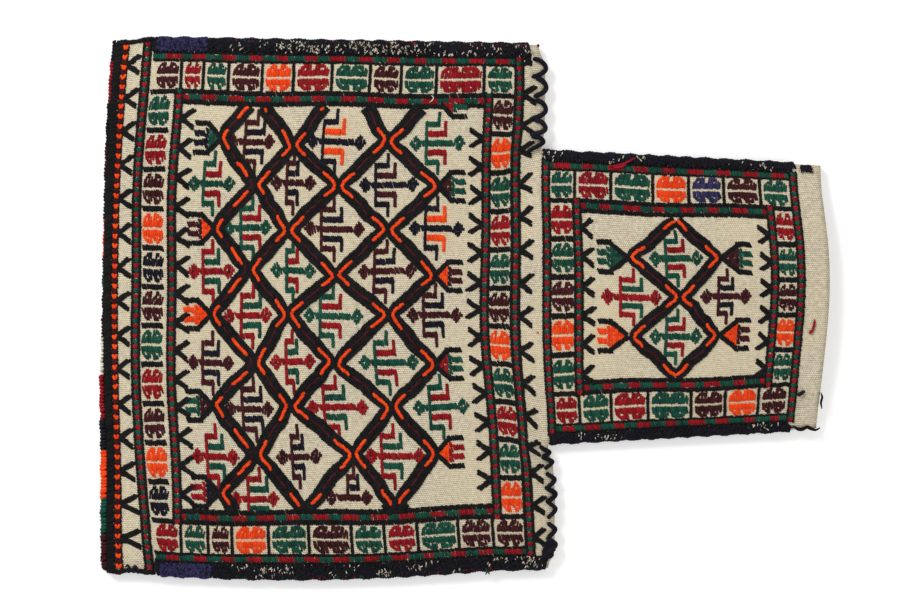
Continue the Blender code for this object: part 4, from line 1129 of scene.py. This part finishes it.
outside = front_height(grid_u, grid_v)
underside = back_height(grid_u, grid_v)
heights = [outside, outside - CLOTH, underside + CLOTH, underside]
points = np.concatenate([on_bag(grid_u, grid_v, h).reshape(-1, 3) for h in heights])
size = grid_u.size
number = np.arange(size).reshape(grid_u.shape)
# Four layers, from the front's outer face down to the back's, and rims along the free edges
faces = []
edge_use = {}
for i, j in zip(*np.nonzero(kept)):
    a, b, c, d = number[i, j], number[i + 1, j], number[i + 1, j + 1], number[i, j + 1]
    for layer, turned in ((0, False), (1, True), (2, False), (3, True)):
        corner = [x + layer * size for x in (a, b, c, d)]
        faces.append(corner[::-1] if turned else corner)
    for edge in ((a, b), (b, c), (c, d), (d, a)):
        key = (min(edge), max(edge))
        edge_use[key] = None if key in edge_use else edge
for edge in edge_use.values():
    if edge is None:
        continue
    a, b = edge
    if a < len(vs) and b < len(vs):
        continue
    faces.append([b, a, a + size, b + size])
    faces.append([b + 2 * size, a + 2 * size, a + 3 * size, b + 3 * size])

# The two outer faces meet round the fold, and the two inner ones in a flat strip
FOLD_STEPS = 6
FOLD_PITCH = 0.8 * MM  # of its rows on the loom's map
fold_rows = [list(number[0])]
extra = []
for step in range(1, FOLD_STEPS):
    angle = math.pi * step / FOLD_STEPS
    row = on_bag(np.zeros(len(vs)), vs, EDGE_BUILD + FOLD_RADIUS * (1 + math.cos(angle)))
    row[:, 0] -= FOLD_RADIUS * math.sin(angle)
    fold_rows.append([len(points) + len(extra) * len(vs) + k for k in range(len(vs))])
    extra.append(row)
fold_rows.append([k + 3 * size for k in number[0]])
points = np.concatenate([points, *extra])
for first, second in zip(fold_rows, fold_rows[1:]):
    for k in range(len(vs) - 1):
        faces.append([first[k], first[k + 1], second[k + 1], second[k]])
for k in range(len(vs) - 1):
    a, b = number[0][k], number[0][k + 1]
    faces.append([b + size, a + size, a + 2 * size, b + 2 * size])
for end in (0, -1):
    loop = [row[end] for row in fold_rows] + [number[0][end] + 2 * size, number[0][end] + size]
    faces.append(loop if end else loop[::-1])

used = np.zeros(len(points), bool)
for face in faces:
    used[face] = True
renumber = np.cumsum(used) - 1
loom_place = np.concatenate([
    np.tile(np.stack([grid_u.ravel(), grid_v.ravel()], -1), (4, 1)),
    *[np.stack([np.full(len(vs), -FOLD_PITCH * k), vs], -1) for k in range(1, FOLD_STEPS)],
])
cloth_mesh = bpy.data.meshes.new("cloth")
cloth_mesh.from_pydata(points[used].tolist(), [], [[int(renumber[k]) for k in face] for face in faces])
cloth_uv = cloth_mesh.uv_layers.new(name="loom")
corner_vertex = np.zeros(len(cloth_mesh.loops), np.int32)
cloth_mesh.loops.foreach_get("vertex_index", corner_vertex)
uv = (loom_place[used][corner_vertex] + UV_SHIFT) * UV_SCALE
cloth_uv.data.foreach_set("uv", uv.astype(np.float32).ravel())
cloth_mesh.polygons.foreach_set("use_smooth", [True] * len(cloth_mesh.polygons))
work = bmesh.new()
work.from_mesh(cloth_mesh)
bmesh.ops.recalc_face_normals(work, faces=work.faces)
work.to_mesh(cloth_mesh)
work.free()
cloth = bpy.data.objects.new("cloth", cloth_mesh)
bpy.context.scene.collection.objects.link(cloth)
cloth_mesh.materials.append(ground.material)
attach(cloth, "root")
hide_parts("woven_cloth")
print("cloth:", len(cloth_mesh.polygons), "faces")

# %% Dye that has bled into the ground
BLEED_REACH = 4.5 * MM
FULL_BLEED = 6  # as many bright stitches near by stain the ground fully
bright = np.array([
    s[:2] for (piece, yarn), group in stitches.items()
    if yarn == "orange" and piece in ("figures", "blocks") for s in group
])
places = loom_place[used]
bleeding = np.zeros(len(places))
for chunk in np.array_split(np.arange(len(places)), 40):
    gap = np.linalg.norm(places[chunk, None] - bright[None], axis=-1)
    bleeding[chunk] = np.exp(-((gap / BLEED_REACH) ** 2)).sum(1)
bleeding = np.minimum(1.0, bleeding / FULL_BLEED)
layer = cloth_mesh.attributes.new("bleed", "FLOAT", "POINT")
layer.data.foreach_set("value", bleeding.astype(np.float32))
print(f"dye reaches {np.mean(bleeding > 0.2) * 100:.0f}% of the ground")

# %% [markdown]
# ## Yarn along paths
#
# Seams, edgings and loose ends are all yarn that follows a path. Each path is a line of points with its own
# thickness and tone, and a second tree turns any number of paths into round yarn.


# %% The yarn tree
def yarn_tree():
    tree, source = new_tree("yarn_along_paths")
    curve = add(tree, "GeometryNodeMeshToCurve", {"Mesh": source.outputs["Geometry"]})
    sides = source.outputs["Sides"]
    ring = add(tree, "GeometryNodeCurvePrimitiveCircle", {"Resolution": sides, "Radius": 1.0})
    thick = named(tree, "thick", "FLOAT")
    links = {"Curve": curve, "Profile Curve": ring, "Scale": thick, "Fill Caps": True}
    return end_tree(tree, source, add(tree, "GeometryNodeCurveToMesh", links))


YARN_TREE = yarn_tree()


def spin(name, yarn, paths, radius, sides=6, taper=0.35):
    """One piece of yarn along each of the paths, tapered at its ends, none of it below the table."""
    points, edges, thick, tone = [], [], [], []
    for path in paths:
        start = len(points)
        count = len(path)
        size = radius * chance.uniform(0.86, 1.14)
        path[:, 2] = np.maximum(path[:, 2], size)
        points.extend(path)
        edges.extend((start + k, start + k + 1) for k in range(count - 1))
        ease = np.minimum(np.arange(count), np.arange(count)[::-1]) / max(1, count * taper)
        thick.extend(size * (0.45 + 0.55 * smooth(ease)))
        tone.extend([chance.uniform(0, 1)] * count)
    mesh = cloud(points, {"thick": thick, "tone": tone})
    mesh.edges.add(len(edges))
    mesh.edges.foreach_set("vertices", np.array(edges, np.int32).ravel())
    piece = grown(name, mesh, YARN_TREE, sides, yarn)
    print(name, len(paths), "turns,", sum(len(p.vertices) - 2 for p in piece.data.polygons), "triangles")
    return piece


print("yarn tree:", len(YARN_TREE.nodes), "nodes")

# %% [markdown]
# ## Overcast seams
#
# The two layers are held together by yarn that goes over their edges again and again. Every turn comes out
# of the front, runs slanting over the edge and goes into the back. The turns crowd together, some reach
# further in than others, and the edge is pulled into small scallops.


# %% One turn of yarn over an edge
LIE = 0.34  # share of a turn that lies on the front, and again on the back


def turn_over(at, inward, lean, reach_front, reach_back, radius, bulge, start=0.0, points=13):
    """A path from the front over the edge to the back.

    `at` is the point of the edge and `inward` the way into the cloth. With a start above 0 the yarn comes
    out of the rounded edge itself, at that share of the way round it.
    """
    at, inward = np.array(at), np.array(inward, float)
    along = np.abs(inward[::-1])
    t = np.linspace(0, 1, points)
    place = at + along * (lean * (0.5 - t))[:, None]
    back = np.clip((t - 1 + LIE) / LIE, 0, 1)
    if start:
        front, round_it = np.zeros(points), np.clip(start + t * (1 - start) / (1 - LIE), 0, 1)
    else:
        front, round_it = np.clip(1 - t / LIE, 0, 1), np.clip((t - LIE) / (1 - 2 * LIE), 0, 1)
    place = place + inward * (front * reach_front + back * reach_back)[:, None]
    u, v = place.T
    rim = EDGE_BUILD + FOLD_RADIUS + (FOLD_RADIUS + radius * 0.7) * np.cos(np.pi * round_it)
    top = front_height(u, v) + radius * (0.7 - 1.1 * smooth((front - 0.8) / 0.2))
    bottom = np.maximum(radius, back_height(u, v) + radius * 0.2)
    height = np.where(front > 0, top, np.where(back > 0, bottom, rim))
    path = on_bag(u, v, height)
    deeper = on_bag(u + inward[0] * MM, v + inward[1] * MM, height)
    out = unit(path - deeper)
    return path + out * (bulge * np.sin(np.pi * round_it))[:, None]


def overcast(name, yarn, start, end, edge, side, reach, pitch=1.7 * MM, radius=0.95 * MM):
    """The turns of one stretch of a side seam, in two layers that cross."""
    paths = []
    for layer, lean in enumerate((3.4 * MM, -2.2 * MM)):
        count = int((end - start) / pitch)
        for k in range(count):
            u = start + (k + 0.5 + 0.4 * layer) * (end - start) / (count + 0.5)
            wave = 0.5 + 0.5 * math.sin(2 * math.pi * u / (15 * MM) + 1.7 * math.sin(u / (31 * MM)))
            inside = reach * (chance.uniform(0.72, 1.02) if layer else chance.uniform(0.35, 1.0))
            bulge = (0.3 + 0.9 * wave) * MM + chance.uniform(-0.2, 0.3) * MM
            slide = lean * chance.uniform(0.3, 1.7)
            paths.append(turn_over((u, edge), (0, -side), slide, inside, reach * 0.9, radius, bulge))
    return spin(name, yarn, paths, radius, taper=0.12)


for name, side, gap in (("upper", 1, 9.5 * MM), ("lower", -1, 1.5 * MM)):
    edge, neck_edge = side * BODY_EDGE, NECK_OFFSET + side * NECK_EDGE
    start, end = VIOLET[side]
    overcast(f"{name}_corner_yarn", "black", -2.4 * MM, SEAM_FOOT, edge, side, 2.4 * MM)
    for seam, yarn, first, last, at, width in (
        (f"{name}_seam_foot", "navy", SEAM_FOOT, start, edge, BODY_SEAM),
        (f"{name}_seam_violet", "violet", start, end, edge, BODY_SEAM),
        (f"{name}_seam", "navy", end, SHOULDER - gap, edge, BODY_SEAM),
        (f"neck_{name}_seam", "navy", SHOULDER + 1 * MM, MOUTH - 19 * MM, neck_edge, NECK_SEAM),
    ):
        piece = overcast(f"{seam}_yarn", yarn, first, last, at, side, width - EDGE_BUILD)
        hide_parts(seam)

# %% [markdown]
# ## The fold: black wraps and a coloured braid
#
# The foot of the bag is the fold of the strip. Black yarn is wrapped over the fold, close together, down to
# the side of its round. From there a braid takes over, in short stretches of colour. From above a scalloped
# rim of it shows, wider towards both corners.

# %% Wrap and braid the fold
WRAP_PITCH = 1.35 * MM
WRAP_REACH = np.array([2.6, 1.2]) * MM  # where a wrap lies on the front before it goes round
paths = []
count = int(2 * BODY_EDGE / WRAP_PITCH)
for k in range(count):
    v = BODY_EDGE - (k + 0.5) * 2 * BODY_EDGE / count
    angles = np.linspace(0, 0.42 * math.pi, 7)
    lift = 0.35 * MM * chance.uniform(0.7, 1.3)
    u = np.concatenate([WRAP_REACH, -(FOLD_RADIUS + lift) * np.sin(angles)])
    slide = np.linspace(1.2 * MM, -1.2 * MM, len(u)) * chance.uniform(0.5, 1.4)
    flat = front_height(WRAP_REACH, np.array([v, v])) + lift * 0.6
    round_height = EDGE_BUILD + FOLD_RADIUS + (FOLD_RADIUS + lift) * np.cos(angles)
    line = on_bag(np.maximum(u, 0), v + slide, np.concatenate([flat, round_height]))
    line[:, 0] += np.minimum(u, 0)
    paths.append(line)
spin("fold_wraps", "black", paths, 0.85 * MM, taper=0.1)

# Each stretch of the braid from the upper corner down, with its share of the length
BRAID = (
    ("navy", 14), ("red", 29), ("black", 30), ("maroon", 22), ("navy", 29), ("orange", 26), ("green", 25),
    ("maroon", 30), ("white", 26), ("red", 30), ("navy", 21), ("orange", 33), ("green", 25), ("maroon", 24),
)
total = sum(length for _, length in BRAID)
top = BODY_EDGE
for place, (yarn, length) in enumerate(BRAID, 1):
    foot = top - 2 * BODY_EDGE * length / total
    count = max(3, int((top - foot) / (2.3 * MM)))
    paths = []
    for k in range(count):
        v = top - (k + 0.5) * (top - foot) / count
        wave = 0.5 + 0.5 * math.sin(2 * math.pi * v / (15 * MM) + math.sin(v / (37 * MM)))
        # The braid lies loose in its lower half, and both its ends are thick
        loose, low, high = float(ramp(-v, -6, 66)), float(ramp(-v, 20, 90)), float(ramp(v, 50, 60))
        thick = 0.2 + 0.6 * wave + 1.8 * loose + 0.6 * (low + high) + chance.uniform(-0.15, 0.2)
        bulge = FOLD_RADIUS + thick * MM
        slide = (3.6 + 2.6 * loose) * MM * chance.uniform(0.7, 1.3)
        begin = 0.3 - 0.14 * low - 0.08 * high
        paths.append(turn_over((0.0, v), (1, 0), slide, 0.0, 5.0 * MM, 1.0 * MM, bulge, start=begin))
    name = f"edge_braid_{place:02d}_{yarn}"
    radius = (1.15 + 0.25 * loose + 0.35 * low + 0.2 * high) * MM
    piece = spin(f"{name}_yarn", yarn, paths, radius, taper=0.15)
    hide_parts(name)
    top = foot

# %% [markdown]
# ## The shoulders' open stitch
#
# The shoulders are closed with one heavy navy yarn in an open stitch: it runs along the edge and loops in
# over the cream band, each loop a little different.

# %% Sew the shoulders
def softened(points, steps=5):
    """A smooth line through all the points."""
    points = np.asarray(points, float)
    spots = np.linspace(0, len(points) - 1, (len(points) - 1) * steps + 1)
    at = np.clip(spots.astype(int), 0, len(points) - 2)
    s = (spots - at)[:, None]
    a, b = points[at], points[at + 1]
    before, after = points[np.maximum(at - 1, 0)], points[np.minimum(at + 2, len(points) - 1)]
    return 0.5 * (2 * a + (b - before) * s + (2 * before - 5 * a + 4 * b - after) * s**2
                  + (3 * a - before - 3 * b + after) * s**3)


# One hook: how far in from the edge and how far along it, in mm
UPPER_HOOK = (
    (7.6, 0.2), (4.6, 0.5), (1.8, 1.9), (0.3, 4.6), (0.2, 7.4), (1.9, 9.9), (5.2, 11.6), (9.4, 13.0),
)
LOWER_HOOK = ((6.0, 0.0), (4.2, 1.6), (1.6, 3.4), (0.2, 5.8), (1.2, 7.8), (3.8, 9.4), (6.4, 11.4))
for name, side, hook, pitch in (("upper", 1, UPPER_HOOK, 13.4 * MM), ("lower", -1, LOWER_HOOK, 11.4 * MM)):
    start = NECK_OFFSET + side * (NECK_EDGE + 1.5 * MM)
    end = side * (BODY_EDGE - 10 * MM)
    count = round(abs(end - start) / pitch)
    paths = []
    for k in range(count):
        stretch, squeeze = chance.uniform(0.72, 1.15), chance.uniform(0.85, 1.12)
        root = end - side * (k + chance.uniform(-0.1, 0.1)) * abs(end - start) / count
        line = []
        for inward, along in hook:
            inward = inward * stretch * MM
            v = root - side * along * squeeze * MM
            u = SHOULDER - inward
            over_edge = math.exp(-inward / (0.6 * MM))
            spot = on_bag(u, v, float(front_height(u, v)) + (1.6 - 2.0 * over_edge) * MM)
            spot[0] += 0.9 * MM * over_edge
            line.append(spot)
        paths.append(softened(line))
    piece = spin(f"shoulder_{name}_yarn", "navy", paths, 1.6 * MM, sides=8, taper=0.08)
    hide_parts(f"shoulder_{name}_stitch")

# %% [markdown]
# ## Loose ends
#
# An old bag sheds. A few ends of yarn lie on the cloth or stand out of a seam, and each is only a short
# path with its own colour.


# %% Scatter the loose ends
def strand(lift, places):
    """A smooth path over the front through places of the bag's frame, all in mm."""
    line = []
    for x, y in places:
        height = float(front_height(x * MM + CENTRE_U, y * MM))
        line.append((x * MM, y * MM, height + lift * MM))
    return softened(line)


mouth_wave = [(226 + 3.0 * k, -84.6 - 0.07 * k + 1.0 * math.sin(1.9 * k)) for k in range(8)]
corner_wave = [(-236 + 1.3 * k, -181.4 - 0.25 * k + 1.9 * math.sin(1.5 * k)) for k in range(9)]
# Name, yarn, radius, and the strands: how far each lies over the cloth and its places
LOOSE_ENDS = (
    ("mouth_thread", "thread", 0.95, (
        (0.9, ((242.6, -8.8), (242.4, -12.0), (241.6, -15.4), (240.4, -18.8))),
        (1.2, ((240.9, -16.2), (239.6, -17.6), (239.4, -19.4))),
    )),
    ("lower_thread", "black", 0.9, (
        (0.9, ((247.2, -59.8), (248.2, -63.0), (247.4, -67.0), (248.2, -71.0))),
    )),
    ("black_end", "black", 1.3, ((0.9, ((230.8, -61.8), (233.2, -60.6), (236.2, -58.6))),)),
    ("white_end", "white", 0.4, (
        (0.9, ((-24.6, 141.6), (-22.6, 143.0), (-21.8, 145.2), (-23.4, 146.4))),
    )),
    ("red_float", "thread", 1.0, (
        (2.2, ((101.0, 97.2), (104.4, 97.9), (108.8, 98.6), (113.4, 100.6), (118.6, 103.4))),
        (2.0, ((103.2, 96.6), (107.4, 96.9), (112.2, 98.6))), (1.5, ((54.4, 156.8), (54.9, 155.0))),
        (1.5, ((53.0, 163.8), (53.8, 161.8))), (1.2, ((50.6, 182.6), (51.6, 180.4))),
    )),
    ("mouth_edge_yarn", "navy", 1.35, ((0.8, mouth_wave),)),
    ("corner_loops", "navy", 1.0, ((0.9, corner_wave),)),
    ("orange_speck", "orange", 0.7, ((0.5, ((50.0, -17.4), (50.9, -18.8))),)),
    ("green_tuft", "green", 0.6, (
        (1.2, ((14.6, -182.0), (15.2, -184.6), (14.4, -186.6))),
        (1.4, ((16.2, -181.6), (16.4, -184.8), (17.2, -186.4))),
    )),
)
for name, yarn, radius, strands in LOOSE_ENDS:
    spin(name, yarn, [strand(*each) for each in strands], radius * MM)

# %% [markdown]
# ## Table and light
#
# The table is a plain white sheet. To the camera it is a little brighter than its lit surface, so that it
# reads as white paper, and the soft shadow under the bag's edge stays. A soft lamp from the upper left draws
# the relief of the stitches, and a weaker one from the lower right fills the shadows.

# %% Table, lamps and sky
table_mesh = bpy.data.meshes.new("table")
table_mesh.from_pydata([(-4, -4, 0), (4, -4, 0), (4, 4, 0), (-4, 4, 0)], [], [(0, 1, 2, 3)])
table = bpy.data.objects.new("table", table_mesh)
table.location.z = -0.2 * MM  # just clear of the cloth's underside
bpy.context.scene.collection.objects.link(table)
table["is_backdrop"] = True
paper = Finish("white_table", roughness=0.9)
PAPER, GLOW, SKY = 0.86, 0.3, 0.55
paper.shader.inputs["Base Color"].default_value = (PAPER, PAPER, PAPER, 1)
rays = ("Is Camera Ray", "Is Glossy Ray", "Is Transmission Ray")
to_camera, to_gloss, through = (paper.node("ShaderNodeLightPath", output=ray) for ray in rays)
seen = (to_camera + to_gloss + through).clamped()
paper.feed("Emission Color", paper.mix(seen, (0, 0, 0, 1), (1, 1, 1, 1)))
paper.shader.inputs["Emission Strength"].default_value = GLOW
table_mesh.materials.append(paper.material)


def soft_lamp(name, place, size, power):
    """A square lamp that looks at the bag."""
    data = bpy.data.lights.new(name, "AREA")
    data.size = size
    data.energy = power
    lamp = bpy.data.objects.new(name, data)
    lamp.location = place
    lamp.rotation_euler = (Vector((0, 0, 0)) - Vector(place)).to_track_quat("-Z", "Y").to_euler()
    bpy.context.scene.collection.objects.link(lamp)


soft_lamp("key", (-1.1, 1.2, 1.5), 0.7, 30)
soft_lamp("fill", (1.3, -0.9, 1.6), 1.4, 9)
sky = bpy.data.worlds.new("studio")
sky.use_nodes = True
light = sky.node_tree.nodes["Background"].inputs
light["Color"].default_value = (1, 1, 1, 1)
light["Strength"].default_value = SKY
bpy.context.scene.world = sky
print("lamps lit")

cut_area = 2 * (SHOULDER * 2 * BODY_EDGE + (MOUTH - SHOULDER) * 2 * NECK_EDGE)
2 * BODY_EDGE
2 * MOUTH + math.pi * FOLD_RADIUS
print(f"cloth cut: {2 * BODY_EDGE:.3f} x {2 * MOUTH:.3f} m, {cut_area:.3f} square metres")
low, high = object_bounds()
print("bag:", [round(1000 * (b - a), 1) for a, b in zip(low, high)], "mm")
